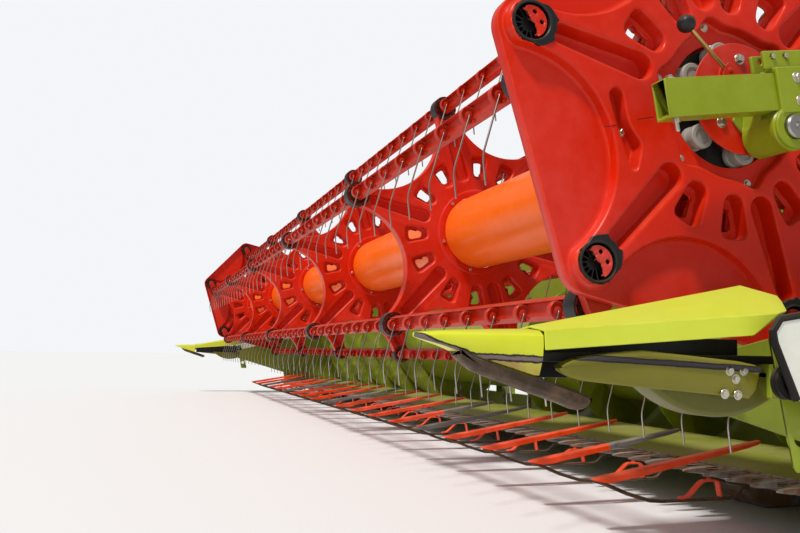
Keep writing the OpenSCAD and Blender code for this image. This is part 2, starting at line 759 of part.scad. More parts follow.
auger_shaft_r = 25;
auger_boss = 8;
flight_end = wall_x - 40;
flight_len = flight_end - feed_w / 2;
module auger_tube() {
    color("olive") translate([0, auger_y, auger_z]) {
        difference() {
            along_x(-flight_end) difference() {
                cylinder(h = 2 * flight_end, r = auger_tube_r, $fn = 96);
                translate([0, 0, 10]) cylinder(h = 2 * flight_end - 20, r = auger_tube_r - 6, $fn = 96);
            }
            at_fingers() cylinder(h = 2 * auger_tube_r, r = finger_r + fit);
        }
        for (s = [0, 1]) side(s) along_x(flight_end - 1)
            cylinder(h = wall_x + sheet + auger_boss - 2 - flight_end, r = auger_shaft_r);
    }
}
module auger_flights() {
    slices = 20;
    wedge = 5;
    inner = auger_tube_r / cos(180 / slices) + fit;
    turns = flight_len / flight_pitch;
    color("yellowgreen") for (s = [0, 1]) side(s) translate([0, auger_y, auger_z]) along_x(feed_w / 2)
        linear_extrude(flight_len, twist = 360 * turns, slices = round(slices * turns), segments = 4) polygon([
            [inner, 0], [flight_r, 0], flight_r * [cos(wedge), sin(wedge)], inner * [cos(wedge), sin(wedge)]
        ]);
}
finger_rows = 8;
finger_r = 8;
module at_fingers() {
    for (i = [0:finger_rows - 1], k = [0:1])
        translate([(i - (finger_rows - 1) / 2) * feed_w / finger_rows, 0, 0]) rotate([i * 90 + 180 * k, 0, 0])
            children();
}
module auger_fingers() {
    color("dimgray") translate([0, auger_y, auger_z]) at_fingers()
        translate([0, 0, auger_tube_r - 30]) cylinder(h = flight_r - auger_tube_r + 18, r = finger_r);
}

// Dividers

divider_x = edge_x - 35;
nose_x = divider_x - divider_w / 2;
nose_y = front_y + nose_len;
peak_y = front_y + peak_at;
tail_y = nose_y + fairing_len;

// Thin slice across the divider: points are [out from the middle, over the tip's height]
module slice_at(y, pts) {
    translate([nose_x, y, divider_tip_z]) rotate([90, 0, 0]) linear_extrude(1) polygon(pts);
}
module divider_nose() {
    w = divider_w / 2;
    waist = [[-22, -22], [-24, -6], [-8, 6], [14, 7], [23, 0], [20, -22]];
    hull() {
        slice_at(front_y + 1, [[-5, -4], [-3, 2], [5, 2], [5, -4]]);
        slice_at(front_y + nose_len / 3, waist);
    }
    hull() {
        slice_at(front_y + nose_len / 3, waist);
        slice_at(nose_y, [[4 - w, -56], [2 - w, -8], [8 - w, 6], [0, 11], [w - 8, 6], [w - 2, -6], [w - 10, -56]]);
    }
}
// Steel runner under the nose
module divider_runner() {
    drop = 57 / nose_len;
    along_x(nose_x - 22) linear_extrude(44) translate([front_y, divider_tip_z]) polygon([
        [nose_len / 3 + 5, -24], [nose_len, -57], [1.5 * nose_len, -1.5 * drop * nose_len],
        [1.45 * nose_len, -107], [nose_len / 2, -50]
    ]);
}
// Fairing: an open shell with a ridge on its inner side
module fairing_body(inset) {
    w = divider_w / 2 - inset;
    low = -60 * inset;
    front = [[4 - w, -20 + low], [4 - w, 2 - inset], [8 - w, 6 - inset], [0, 12 - inset], [w - 4, 6 - inset],
        [w - 2, -20 + low]];
    peak = [[-w, 9 + low], [-w, peak_up - 16 - inset], [10 - w, peak_up - inset], [w, 44 - inset], [w, 9 + low]];
    hull() {
        slice_at(nose_y + 1, front);
        slice_at(peak_y, peak);
    }
    hull() {
        slice_at(peak_y, peak);
        slice_at(tail_y, [[2 - w, 40 + low], [2 - w, peak_up - 30 - inset], [12 - w, peak_up - 14 - inset],
            [w - 30, 50 - inset], [w - 30, 40 + low]]);
    }
}
module divider_fairing() {
    difference() {
        fairing_body(0);
        translate([0, 2, 0]) fairing_body(5);
        // slanting cut at the tail
        along_x(nose_x - divider_w) linear_extrude(2 * divider_w) polygon([
            [peak_y - 50, divider_tip_z - 100], [peak_y - 50, divider_tip_z + 15], [tail_y + 1, divider_tip_z + 72],
            [tail_y + 1, divider_tip_z - 100]
        ]);
    }
}
module deflector() {
    along_x(divider_x - 25) linear_extrude(14) translate([nose_y, divider_tip_z]) polygon([
        [30, -41], [69, -27], [164, -17], [335, -31], [380, -41], [364, -89], [61, -62]
    ]);
    // lip along the upper edge
    along_x(divider_x - 30) linear_extrude(28) translate([nose_y, divider_tip_z]) polygon([
        [69, -27], [164, -17], [335, -31], [334, -38], [164, -24], [72, -33]
    ]);
}
module divider_bracket() {
    root = wall_x + sheet;
    post_x = divider_x - 18;
    belly_r = 200;
    bar_y = peak_y + 36;
    along_x(post_x) linear_extrude(12) difference() {
        polygon([
            [peak_y - 16, divider_tip_z + 12], [peak_y + 16, divider_tip_z + 12], [peak_y + 78, divider_tip_z - 203],
            [peak_y + 26, divider_tip_z - 203]
        ]);
        translate([peak_y + 44, divider_tip_z - 150]) circle(14);
    }
    // bar along the inner side, from the nose back to the cross bar
    translate([nose_x - 14, nose_y, divider_tip_z - 36]) cube([24, bar_y - nose_y, 14]);
    translate([root, peak_y - 6, divider_tip_z - 89]) cube([post_x + 1 - root, 42, 54]);
    // round belly under the deflector
    along_x(nose_x - 36) linear_extrude(divider_x - 25.5 - nose_x + 36) difference() {
        translate([peak_y - 94, divider_tip_z + 81]) circle(belly_r);
        translate([peak_y - 2 * belly_r, divider_tip_z - 74]) square(4 * belly_r);
    }
}
module divider_nose_left() { color("yellowgreen") side(1) divider_nose(); }
module divider_nose_right() { color("yellowgreen") side(0) divider_nose(); }
module divider_fairing_left() { color("yellowgreen") side(1) divider_fairing(); }
module divider_fairing_right() { color("yellowgreen") side(0) divider_fairing(); }
module divider_runner_left() { color("saddlebrown") side(1) divider_runner(); }
module divider_runner_right() { color("saddlebrown") side(0) divider_runner(); }
module deflector_left() { color("olive") side(1) deflector(); }
module deflector_right() { color("olive") side(0) deflector(); }
module divider_bracket_left() { color("olive") side(1) divider_bracket(); }
module divider_bracket_right() { color("olive") side(0) divider_bracket(); }

module side_cover() {
    leaf_back = cover_back - 24;
    difference() {
        union() {
            along_x(edge_x - cover_sheet) linear_extrude(cover_sheet) polygon([
                [peak_y, prow_z - 44], [peak_y - 42, prow_z + 50], [peak_y - 40, prow_z + 68], [peak_y - 26, prow_z + 78],
                [reel_y + 10, prow_z + 112], [auger_y - 450, auger_z + 210], [leaf_back, auger_z + 310],
                [leaf_back, auger_z - 110], [peak_y + 60, auger_z - 110]
            ]);
            for (z = hinge_heights) translate([0, 0, z + stay_h + 2]) {
                translate([hinge_x, cover_back, 0]) cylinder(h = knuckle_h, r = knuckle_r);
                translate([edge_x - cover_sheet, leaf_back - 30, 0])
                    cube([cover_sheet - 1, cover_back - leaf_back + 30, knuckle_h]);
            }
        }
        translate([hinge_x, cover_back, 0]) cylinder(h = beam_top, r = knuckle_r / 2 + fit);
    }
}
module side_cover_left() { color("gainsboro") side(1) side_cover(); }
module side_cover_right() { color("gainsboro") side(0) side_cover(); }

// Belt and pulleys that drive the knife, at the left end
drive_r = 24;
drive_t = 18;
belt_t = 5;
drive_front = [nose_y + 352, divider_tip_z - 62];
drive_rear = [auger_y - 260, auger_z - 40];
module knife_drive() {
    x = divider_x + 1;
    color("dimgray") {
        along_x(x) linear_extrude(drive_t) difference() {
            slot2d(drive_front, drive_r + belt_t, drive_rear, 2 * drive_r + belt_t);
            slot2d(drive_front, drive_r, drive_rear, 2 * drive_r);
        }
        translate([x - 1, drive_front.x, drive_front.y]) along_x() cylinder(h = drive_t + 2, r = drive_r);
        translate([x - 1, drive_rear.x, drive_rear.y]) along_x() cylinder(h = drive_t + 2, r = 2 * drive_r);
        translate([divider_x - 11, drive_front.x, drive_front.y]) along_x() cylinder(h = 13, r = 9);
        translate([wall_x + sheet, drive_rear.x, drive_rear.y]) along_x()
            cylinder(h = x - wall_x - sheet, r = 14);
    }
}

back_frame();
back_panel();
table_trough();
side_wall_left();
side_wall_right();
knife_guards();
knife_sections();
lifters_red();
lifters_grey();
skid_shoes();
auger_tube();
auger_flights();
auger_fingers();
reel_tube();
reel_shafts();
reel_stars();
star_bearings();
tine_bar_1();
tine_bar_2();
tine_bar_3();
tine_bar_4();
tine_bar_5();
tine_bar_6();
tines_1();
tines_2();
tines_3();
tines_4();
tines_5();
tines_6();
control_plate_left();
control_plate_right();
plate_bearings_left();
plate_bearings_right();
eccentric_left();
eccentric_right();
carriage_left();
carriage_right();
arm_left();
arm_right();
lift_barrel_left();
lift_barrel_right();
lift_rod_left();
lift_rod_right();
divider_nose_left();
divider_nose_right();
divider_fairing_left();
divider_fairing_right();
divider_runner_left();
divider_runner_right();
deflector_left();
deflector_right();
divider_bracket_left();
divider_bracket_right();
cover_stays_left();
cover_stays_right();
side_cover_left();
side_cover_right();
depth_lever();
knife_drive();
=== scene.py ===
# %% [markdown]
# # A combine's cutting header, dressed for its portrait
#
# The header is a long steel table that the combine carries at its front. A knife runs along its
# front edge, crop lifters stand ahead of the knife, and a six-bar reel leans the crop over the
# table. The CAD solids are already right in size and place, so this lesson adds what CAD leaves
# out: paint that has met dust and straw, moulded plastic, worn steel, bolts, ribs and belts.

import json
import math
import random

import bmesh
import bpy
from mathutils import Matrix, Vector
from mathutils.geometry import delaunay_2d_cdt


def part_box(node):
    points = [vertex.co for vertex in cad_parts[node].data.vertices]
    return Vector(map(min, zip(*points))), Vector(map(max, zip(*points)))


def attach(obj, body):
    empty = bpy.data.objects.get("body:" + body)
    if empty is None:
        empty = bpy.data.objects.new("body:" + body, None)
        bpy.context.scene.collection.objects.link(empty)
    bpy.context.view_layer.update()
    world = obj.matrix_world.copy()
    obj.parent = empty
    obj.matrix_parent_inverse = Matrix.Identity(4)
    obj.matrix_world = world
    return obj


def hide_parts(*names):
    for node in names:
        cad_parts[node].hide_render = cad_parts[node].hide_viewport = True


random.seed(26)  # every bolt head turns the same way on every run
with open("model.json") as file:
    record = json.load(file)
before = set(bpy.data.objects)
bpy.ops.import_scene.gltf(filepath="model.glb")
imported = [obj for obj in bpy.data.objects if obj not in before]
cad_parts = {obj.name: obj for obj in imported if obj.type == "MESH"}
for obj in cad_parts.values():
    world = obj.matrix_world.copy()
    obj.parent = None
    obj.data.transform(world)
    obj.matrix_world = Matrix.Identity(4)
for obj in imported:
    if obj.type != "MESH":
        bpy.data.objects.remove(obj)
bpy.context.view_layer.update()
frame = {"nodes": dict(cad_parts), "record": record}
nodes = frame["nodes"]
print("CAD nodes:", len(nodes))

# %% [markdown]
# ## The camera
#
# The photograph was taken from beside the reel's left end, low down, looking along the header. A
# pinhole camera was fitted to the corners of the six reel stars, whose spacing is known, and its
# place and angles are written here. The lens is 36 mm on a 36 mm sensor, so one focal length is
# exactly one picture width.

# %% Place the camera
YAW, PITCH, ROLL = math.radians(18.268), math.radians(6.106), math.radians(1.0)
CAMERA_AT = Vector((4.3916, -1.5178, 0.398))
scene = bpy.context.scene


def add(name, data):
    """A new object in the scene."""
    made = bpy.data.objects.new(name, data)
    scene.collection.objects.link(made)
    return made


ahead = Vector((-math.cos(YAW) * math.cos(PITCH), math.sin(YAW) * math.cos(PITCH), math.sin(PITCH)))
level = ahead.cross(Vector((0, 0, 1))).normalized()
upright = level.cross(ahead)
right = math.cos(ROLL) * level + math.sin(ROLL) * upright
up = math.cos(ROLL) * upright - math.sin(ROLL) * level

camera = add("camera", bpy.data.cameras.new("camera"))
camera.data.lens = camera.data.sensor_width = 36
camera.data.clip_start, camera.data.clip_end = 0.05, 200
camera.matrix_world = Matrix.Translation(CAMERA_AT) @ Matrix((right, up, -ahead)).transposed().to_4x4()
scene.camera = camera
print("camera at", tuple(round(c, 2) for c in CAMERA_AT))

# %% [markdown]
# ## A kit for node trees
#
# Paint is a matter of sums: a mask times an amount, one noise plus another. A small class lets an
# output be added, subtracted and multiplied as if it were a number, and each step adds one node.

# %% Nodes, and wires that do sums
def put(tree, kind, inputs=None, **settings):
    """Adds one node, sets its fields, and sets or wires its inputs."""
    made = tree.nodes.new(kind)
    for field, value in settings.items():
        setattr(made, field, value)
    for name, value in (inputs or {}).items():
        value = getattr(value, "socket", value)
        if isinstance(value, bpy.types.NodeSocket):
            tree.links.new(value, made.inputs[name])
        else:
            made.inputs[name].default_value = value
    return made


def sum_of(tree, operation, a, b, clamp=False):
    return Wire(put(tree, "ShaderNodeMath", {0: a, 1: b}, operation=operation, use_clamp=clamp).outputs[0])


class Wire:
    """A node's output that can be used in sums."""

    def __init__(self, socket):
        self.socket, self.tree = socket, socket.id_data

    def __add__(self, other):
        return sum_of(self.tree, "ADD", self, other)

    def __sub__(self, other):
        return sum_of(self.tree, "SUBTRACT", self, other)

    def __rsub__(self, other):
        return sum_of(self.tree, "SUBTRACT", other, self)

    def __mul__(self, other):
        return sum_of(self.tree, "MULTIPLY", self, other)

    def step(self, operation, other=0.0, clamp=False):
        return sum_of(self.tree, operation, self, other, clamp)


def mapped(value, low, high):
    """Stretches a value so that low gives 0 and high gives 1."""
    inputs = {"Value": value, "From Min": low, "From Max": high}
    return Wire(put(value.tree, "ShaderNodeMapRange", inputs).outputs[0])


def mixed(share, a, b):
    return Wire(put(share.tree, "ShaderNodeMix", {0: share, 6: a, 7: b}, data_type="RGBA").outputs[2])


def place(tree):
    return put(tree, "ShaderNodeTexCoord").outputs["Object"]


def parts_of(tree, vector):
    """The X, Y and Z of a vector, as wires."""
    return [Wire(output) for output in put(tree, "ShaderNodeSeparateXYZ", {0: vector}).outputs]


def noise(tree, scale, detail=3.0, stretch=None, rough=0.55):
    """Noise in object space; stretch squeezes it along each axis."""
    at = place(tree)
    if stretch:
        at = put(tree, "ShaderNodeMapping", {"Vector": at, "Scale": stretch}).outputs[0]
    settings = {"Vector": at, "Scale": scale, "Detail": detail, "Roughness": rough}
    return Wire(put(tree, "ShaderNodeTexNoise", settings).outputs[0])


def blank_material(name):
    made = bpy.data.materials.new(name)
    made.use_nodes = True
    made.node_tree.nodes.clear()
    return made, made.node_tree


def shaded(tree, inputs):
    """Ends a material: its Principled shader, and the output."""
    shader = put(tree, "ShaderNodeBsdfPrincipled", inputs)
    put(tree, "ShaderNodeOutputMaterial", {"Surface": shader.outputs[0]})


print("kit ready")

# %% [markdown]
# ## Floor, world and sun
#
# A wide pale floor catches the shadow. The world lights from all sides at a plain level, and one
# broad sun, high and in front of the header, gives the bright reel tube and the dark hollows that
# open-air light gives. The camera sees a brighter world than the one that lights, so the background
# is pale without washing out the paint.

# %% World and sun
WORLD_LEVEL = 0.42
SUN_LEVEL = 2.9
PALE = (0.90, 0.92, 0.94, 1)

scene.view_settings.view_transform = "Standard"
world = scene.world = bpy.data.worlds.new("pale studio")
world.use_nodes = True
sky = world.node_tree
sky.nodes.clear()
path = put(sky, "ShaderNodeLightPath").outputs
seen = Wire(path["Is Camera Ray"]).step("MAXIMUM", path["Is Transmission Ray"])
lights, shows = (put(sky, "ShaderNodeBackground", {"Color": PALE, "Strength": strength}).outputs[0]
                 for strength in (WORLD_LEVEL, 1.0))
both = put(sky, "ShaderNodeMixShader", {0: seen, 1: lights, 2: shows})
put(sky, "ShaderNodeOutputWorld", {"Surface": both.outputs[0]})

sun = add("sun", bpy.data.lights.new("sun", "SUN"))
sun.data.energy = SUN_LEVEL
sun.data.angle = math.radians(6)
sun.data.color = (1.0, 0.97, 0.92)
sun.rotation_euler = Vector((-0.36, 0.56, -1.0)).to_track_quat("-Z", "Y").to_euler()
print("world", WORLD_LEVEL, "sun", SUN_LEVEL)

# %% Floor
FLOOR_HALF = 60
FLOOR_Z = -0.001

floor_mesh = bpy.data.meshes.new("floor")
corners = [(x * FLOOR_HALF, y * FLOOR_HALF, FLOOR_Z) for x, y in ((-1, -1), (1, -1), (1, 1), (-1, 1))]
floor_mesh.from_pydata(corners, [], [(0, 1, 2, 3)])
pale_floor, tree = blank_material("pale floor")
cloud = Wire(put(tree, "ShaderNodeTexNoise", {"Scale": 0.6, "Detail": 3.0}).outputs[0])
shaded(tree, {"Base Color": mixed(cloud, (0.80, 0.81, 0.82, 1), (0.84, 0.85, 0.86, 1)), "Roughness": 0.9})
floor_mesh.materials.append(pale_floor)
floor = add("floor", floor_mesh)
print("floor", 2 * FLOOR_HALF, "m")

# %% [markdown]
# ## Effects that many finishes share
#
# Five effects turn up on almost every surface of a machine that works in a dry field: paint drifts
# in tone, edges rub bare (on the red plastic they carry a painted highlight), dust settles where a
# face looks up, fine grain breaks the gloss, and straw draws thin scratches. Each is a shader group,
# built once, with its own values in each finish. Groups give out only masks, colours and normals; the
# shader itself stays in the material.

# %% Opening and closing a group
def open_group(name, inputs):
    """A shader group with named inputs: its tree, and its inputs as wires."""
    group = bpy.data.node_groups.new(name, "ShaderNodeTree")
    for label, value in inputs.items():
        kind = "NodeSocketColor" if isinstance(value, tuple) else "NodeSocketFloat"
        group.interface.new_socket(label, in_out="INPUT", socket_type=kind).default_value = value
    enter = group.nodes.new("NodeGroupInput").outputs
    return group, {label: Wire(enter[label]) for label in inputs}


def close_group(group, **results):
    for label in results:
        kind = "NodeSocketColor" if label == "Color" else "NodeSocketFloat"
        group.interface.new_socket(label, in_out="OUTPUT", socket_type=kind)
    put(group, "NodeGroupOutput", results)
    print("group", group.name, "gives", ", ".join(results))


def use_group(tree, group, **inputs):
    return Wire(put(tree, "ShaderNodeGroup", inputs, node_tree=group).outputs[0])


print("group helpers ready")

# %% Tone drift: paint and plastic are never one flat colour
drift, given = open_group("tone drift", {"Color": (0.5, 0.5, 0.5, 1), "Scale": 2.0, "Amount": 0.2})
slow = mapped(noise(drift, given["Scale"]), 0.3, 0.7)
fine = mapped(noise(drift, given["Scale"] * 14.0, 4.0), 0.3, 0.7)
spread = (slow * 0.7 + fine * 0.3 - 0.5) * given["Amount"]
shade = put(drift, "ShaderNodeHueSaturation", {
    "Color": given["Color"], "Value": spread + 1.0, "Saturation": 1.0 - spread * 0.4})
close_group(drift, Color=shade.outputs[0])

# %% Rubbed and highlit edges: a rounded normal differs from the flat one only near an edge; the mask bares the colour beneath, and on the red plastic it lays a painted highlight
rubbed_and_highlit, given = open_group("rubbed edges", {"Radius": 0.003, "Scale": 30.0, "Amount": 0.6})
soft = put(rubbed_and_highlit, "ShaderNodeBevel", {"Radius": given["Radius"]}, samples=4).outputs[0]
flat = put(rubbed_and_highlit, "ShaderNodeNewGeometry").outputs["Normal"]
along = put(rubbed_and_highlit, "ShaderNodeVectorMath", {0: soft, 1: flat}, operation="DOT_PRODUCT").outputs["Value"]
edge = mapped(1.0 - Wire(along), 0.01, 0.16)
broken = mapped(noise(rubbed_and_highlit, given["Scale"], 5.0), 0.42, 0.6)
close_group(rubbed_and_highlit, Mask=(edge * broken).step("MULTIPLY", given["Amount"], clamp=True))

# %% Field dust: it lies on faces that look up and clings in patches elsewhere
dust, given = open_group("field dust", {"Amount": 0.5, "Scale": 6.0, "Cling": 0.15})
lying = mapped(parts_of(dust, put(dust, "ShaderNodeNewGeometry").outputs["Normal"])[2], 0.1, 0.9)
patches = mapped(noise(dust, given["Scale"], 6.0, rough=0.65), 0.38, 0.72)
specks = mapped(noise(dust, given["Scale"] * 45.0, 2.0), 0.6, 0.75)
film = lying * (patches + 0.25) + (patches + specks) * given["Cling"]
close_group(dust, Mask=film.step("MULTIPLY", given["Amount"], clamp=True))

# %% Straw scratches: long thin lines, squeezed noise cut at a narrow level
scratched, given = open_group("straw scratches", {"Scale": 8.0, "Amount": 0.4})
lines = noise(scratched, given["Scale"], 6.0, stretch=(2.0, 30.0, 9.0), rough=0.7)
thin = 1.0 - mapped((lines - 0.5).step("ABSOLUTE"), 0.0, 0.012)
zones = mapped(noise(scratched, 3.0, 2.0), 0.5, 0.7)
close_group(scratched, Mask=(thin * zones).step("MULTIPLY", given["Amount"], clamp=True))

# %% Surface grain: a height for the bump, either orange peel in paint or texture in plastic
grain, given = open_group("surface grain", {"Scale": 900.0, "Waves": 40.0})
close_group(grain, Height=noise(grain, given["Scale"], 2.0) * 0.3 + noise(grain, given["Waves"], 2.0) * 0.7)

# %% [markdown]
# ## Finishes
#
# One function mixes the shared effects into a painted or moulded surface. Its order follows the
# real one: base colour, drift, scratches and rubbed edges that bare what is beneath, then dust over
# everything. On the red plastic the edge colour is a painted highlight, not a bared layer. The
# Principled shader sits in each material, with its plain numbers set on its own sockets.

# %% Painted and moulded surfaces
DUST_COLOUR = (0.46, 0.36, 0.22, 1)


def dusted(surface, amount, scale, cling):
    """A colour under its film of dust, and the film's mask."""
    film = use_group(surface.tree, dust, Amount=amount, Scale=scale, Cling=cling)
    return mixed(film, surface, DUST_COLOUR), film


def bumped(tree, strength, distance=0.002, fine=700.0, waves=60.0):
    height = use_group(tree, grain, Scale=fine, Waves=waves)
    return put(tree, "ShaderNodeBump", {"Strength": strength, "Distance": distance, "Height": height}).outputs[0]


def coated(name, colour, under_and_highlight, gloss=0.35, tone=0.3, wear_and_highlight=0.5, radius=0.003, dusty=0.5, cling=0.15,
           scratch=0.3, peel=0.05, shine=0.35, metal=0.0):
    """Paint or plastic over another colour, with worn edges, scratches and dust; on the red plastic the edge colour
    is a painted highlight.
    """
    made, tree = blank_material(name)
    skin = use_group(tree, drift, Color=(*colour, 1), Scale=2.2, Amount=tone)
    edge_marks = use_group(tree, rubbed_and_highlit, Radius=radius, Scale=28.0, Amount=wear_and_highlight)
    lines = use_group(tree, scratched, Scale=7.0, Amount=scratch)
    worn = edge_marks.step("MAXIMUM", lines * 0.5)
    surface, film = dusted(mixed(worn, skin, (*under_and_highlight, 1)), dusty, 5.0, cling)
    inputs = {"Base Color": surface, "Roughness": (film * 0.5).step("ADD", lines * 0.15 + gloss, clamp=True),
              "Normal": bumped(tree, peel), "Specular IOR Level": shine}
    if metal:
        inputs["Metallic"] = worn * metal
    shaded(tree, inputs)
    return made


PRIMER = (0.30, 0.20, 0.13)
BARE_STEEL = (0.45, 0.42, 0.38)

finish = {
    # The orange at this plastic's edges is a painted highlight along its rounded rims, not a layer beneath.
    "red_plastic": coated("moulded red", (0.68, 0.021, 0.006), (0.92, 0.17, 0.04), gloss=0.32, tone=0.16, wear_and_highlight=0.55,
                          radius=0.005, dusty=0.14, cling=0.05, scratch=0.15, peel=0.06, shine=0.25),
    "red_paint": coated("red paint", (0.66, 0.022, 0.008), PRIMER, gloss=0.34, wear_and_highlight=0.45, dusty=0.30, cling=0.10,
                        shine=0.3, metal=0.4),
    # Bar red is darker than the red paint it copies: painted shade for the bars' fronts.
    "bar_red": coated("shaded bar red", (0.54, 0.024, 0.008), PRIMER, gloss=0.36, wear_and_highlight=0.45, dusty=0.10, cling=0.08,
                      shine=0.2, metal=0.4),
    "lifter_red": coated("lifter red", (0.92, 0.075, 0.018), PRIMER, gloss=0.36, wear_and_highlight=0.4, dusty=0.18, cling=0.08,
                         scratch=0.5, shine=0.3, metal=0.3),
    "orange_paint": coated("orange paint", (0.98, 0.155, 0.010), PRIMER, gloss=0.30, tone=0.12, wear_and_highlight=0.25,
                           dusty=0.06, cling=0.03, scratch=0.4, shine=0.3, metal=0.3),
    "lime_paint": coated("lime paint", (0.27, 0.33, 0.017), PRIMER, gloss=0.33, dusty=0.28, cling=0.10, shine=0.3,
                         metal=0.4),
    # The table paint is a darker copy of the lime paint: painted shade over the table, its sheets and the auger.
    "shaded_table_lime": coated("shaded table paint", (0.22, 0.27, 0.014), PRIMER, gloss=0.36, wear_and_highlight=0.4, dusty=0.35, cling=0.16,
                         shine=0.25),
    "lime_plastic": coated("moulded lime", (0.66, 0.73, 0.060), (0.10, 0.08, 0.05), gloss=0.32, tone=0.14, wear_and_highlight=0.3,
                           radius=0.004, dusty=0.14, cling=0.05, peel=0.04, shine=0.3),
    "cover_white": coated("pale cover", (0.80, 0.80, 0.72), (0.35, 0.33, 0.30), gloss=0.4, dusty=0.3, cling=0.12),
    "grey_paint": coated("grey paint", (0.17, 0.17, 0.165), BARE_STEEL, gloss=0.42, dusty=0.35, metal=0.6),
    "roller_grey": coated("grey roller", (0.34, 0.34, 0.31), (0.2, 0.19, 0.17), gloss=0.45, dusty=0.35, cling=0.2),
    "ram_black": coated("black paint", (0.02, 0.02, 0.02), BARE_STEEL, gloss=0.3, dusty=0.3, cling=0.12, metal=0.6),
    "black_plastic": coated("black nylon", (0.012, 0.012, 0.013), (0.07, 0.065, 0.06), gloss=0.40, dusty=0.18,
                            cling=0.10, peel=0.08, shine=0.3),
    "belt_rubber": coated("belt rubber", (0.010, 0.009, 0.009), (0.05, 0.045, 0.04), gloss=0.6, wear_and_highlight=0.4, dusty=0.2,
                          cling=0.12, peel=0.2, shine=0.2),
    # The belly's dark olive is a darkened copy of the lime paint: painted shade under the deflector.
    "belly_olive": coated("shaded olive belly", (0.115, 0.112, 0.010), PRIMER, gloss=0.34, wear_and_highlight=0.3, dusty=0.2, cling=0.12,
                          shine=0.3),
}
print("coated finishes:", ", ".join(finish))

# %% [markdown]
# ## Bare metal
#
# The knife, the tines and the skids have no paint. Knife steel is bright where the crop polishes it
# and brown where it rests, tine wire is spring steel with a satin drawn surface, chrome stays clean
# because the seal wipes it on every stroke.

# %% Bare metals
def bare_metal(name, colour, rough, rusty, dusty, rust=(0.16, 0.065, 0.030)):
    made, tree = blank_material(name)
    skin = use_group(tree, drift, Color=(*colour, 1), Scale=5.0, Amount=0.5)
    spots = mapped(noise(tree, 18.0, 8.0, stretch=(1, 1, 1), rough=0.7), 0.62 - 0.3 * rusty, 0.80 - 0.3 * rusty)
    eaten = spots * min(1.0, rusty * 1.5)
    surface, film = dusted(mixed(eaten, skin, (*rust, 1)), dusty, 7.0, 0.25)
    dull = eaten.step("MAXIMUM", film)
    shaded(tree, {"Base Color": surface, "Roughness": (dull * 0.4).step("ADD", rough, clamp=True),
                  "Metallic": sum_of(tree, "SUBTRACT", 1.0, dull, clamp=True),
                  "Normal": bumped(tree, 0.15, 0.001, 500.0, 120.0)})
    return made


finish |= {
    "knife_steel": bare_metal("knife steel", (0.36, 0.35, 0.34), 0.36, rusty=0.7, dusty=0.6),
    "tine_steel": bare_metal("spring wire", (0.42, 0.40, 0.37), 0.30, rusty=0.15, dusty=0.15),
    "chrome_rod": bare_metal("chrome", (0.75, 0.75, 0.76), 0.08, rusty=0.02, dusty=0.05),
    "skid_steel": bare_metal("skid steel", (0.30, 0.29, 0.28), 0.45, rusty=0.9, dusty=0.9),
    "runner_steel": bare_metal("worn runner", (0.17, 0.10, 0.055), 0.42, rusty=0.75, dusty=0.3,
                               rust=(0.035, 0.018, 0.010)),
    "lever_brass": bare_metal("brass", (0.55, 0.36, 0.12), 0.28, rusty=0.25, dusty=0.15, rust=(0.12, 0.07, 0.03)),
    "zinc": bare_metal("zinc bolts", (0.62, 0.58, 0.48), 0.32, rusty=0.2, dusty=0.2),
}
print("metals added, finishes:", len(finish))

# %% [markdown]
# ## Give every CAD node its finish
#
# The record names a material slot for each node. The finishes above carry the same names, so each
# node's slots can be filled from its record entry in one loop.

# %% Dress the CAD nodes
slot_of = {entry["node"]: entry["material_slot"] for entry in frame["record"]["subparts"]}


def coat(node, slot):
    nodes[node].data.materials.clear()
    nodes[node].data.materials.append(finish[slot])


for name in nodes:
    coat(name, slot_of[name])
print("dressed", len(slot_of), "nodes")

# %% [markdown]
# ## Places read from the frame
#
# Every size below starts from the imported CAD: joints give the axes, and boxes give the faces that
# pieces sit on. The reel turns about one line, its six tine bars stand on a circle round it, and
# each control plate turns about its own line, a little higher and further forward.

# %% Axes and planes
MM = 0.001
SIDES = {"left": 1, "right": -1}
SECTOR = math.pi / 3
JOINTS = frame["record"]["behaviour"]["joints"]
pins = {joint["name"]: Vector(joint["pos_m"]) for joint in JOINTS if "pos_m" in joint}
REEL, PLATE = pins["reel_spin"], pins["control_plate_left"]
spoke = pins["tine_bar_1"] - REEL
BAR_R, PHASE = math.hypot(spoke.y, spoke.z), math.atan2(spoke.z, spoke.y)
BARS = range(1, 7)

plate_lo, plate_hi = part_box("control_plate_left")
PLATE_X, PLATE_DEEP = plate_lo[0], plate_hi[0] - plate_lo[0]
DEEP = PLATE_DEEP / MM
STARS_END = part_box("reel_stars")[1][0]
STAR_RIM = 36 * MM
STARS = 6
STAR_X = [STARS_END - STAR_RIM / 2 - k * (2 * STARS_END - STAR_RIM) / (STARS - 1) for k in range(STARS)]
print("reel axis", tuple(REEL), "bar circle", round(BAR_R, 4), "phase", round(math.degrees(PHASE), 1))

# %% [markdown]
# ## Small shape builders
#
# Three ways of making a shape serve the whole machine. A loft joins rings of points, a turned shape
# is a loft of circles round a line, and a relief is a sheet drawn as level lines, like a map: the
# lines are triangulated in the plane and each point is lifted to its line's height. Reliefs suit
# pressed and moulded plates, because every shoulder and fillet is only a few lines drawn close
# together.

# %% Lofts, turned shapes and wires
def mm(*pairs):
    """Tuples of millimetres, in metres."""
    return [tuple(value * MM for value in pair) for pair in pairs]



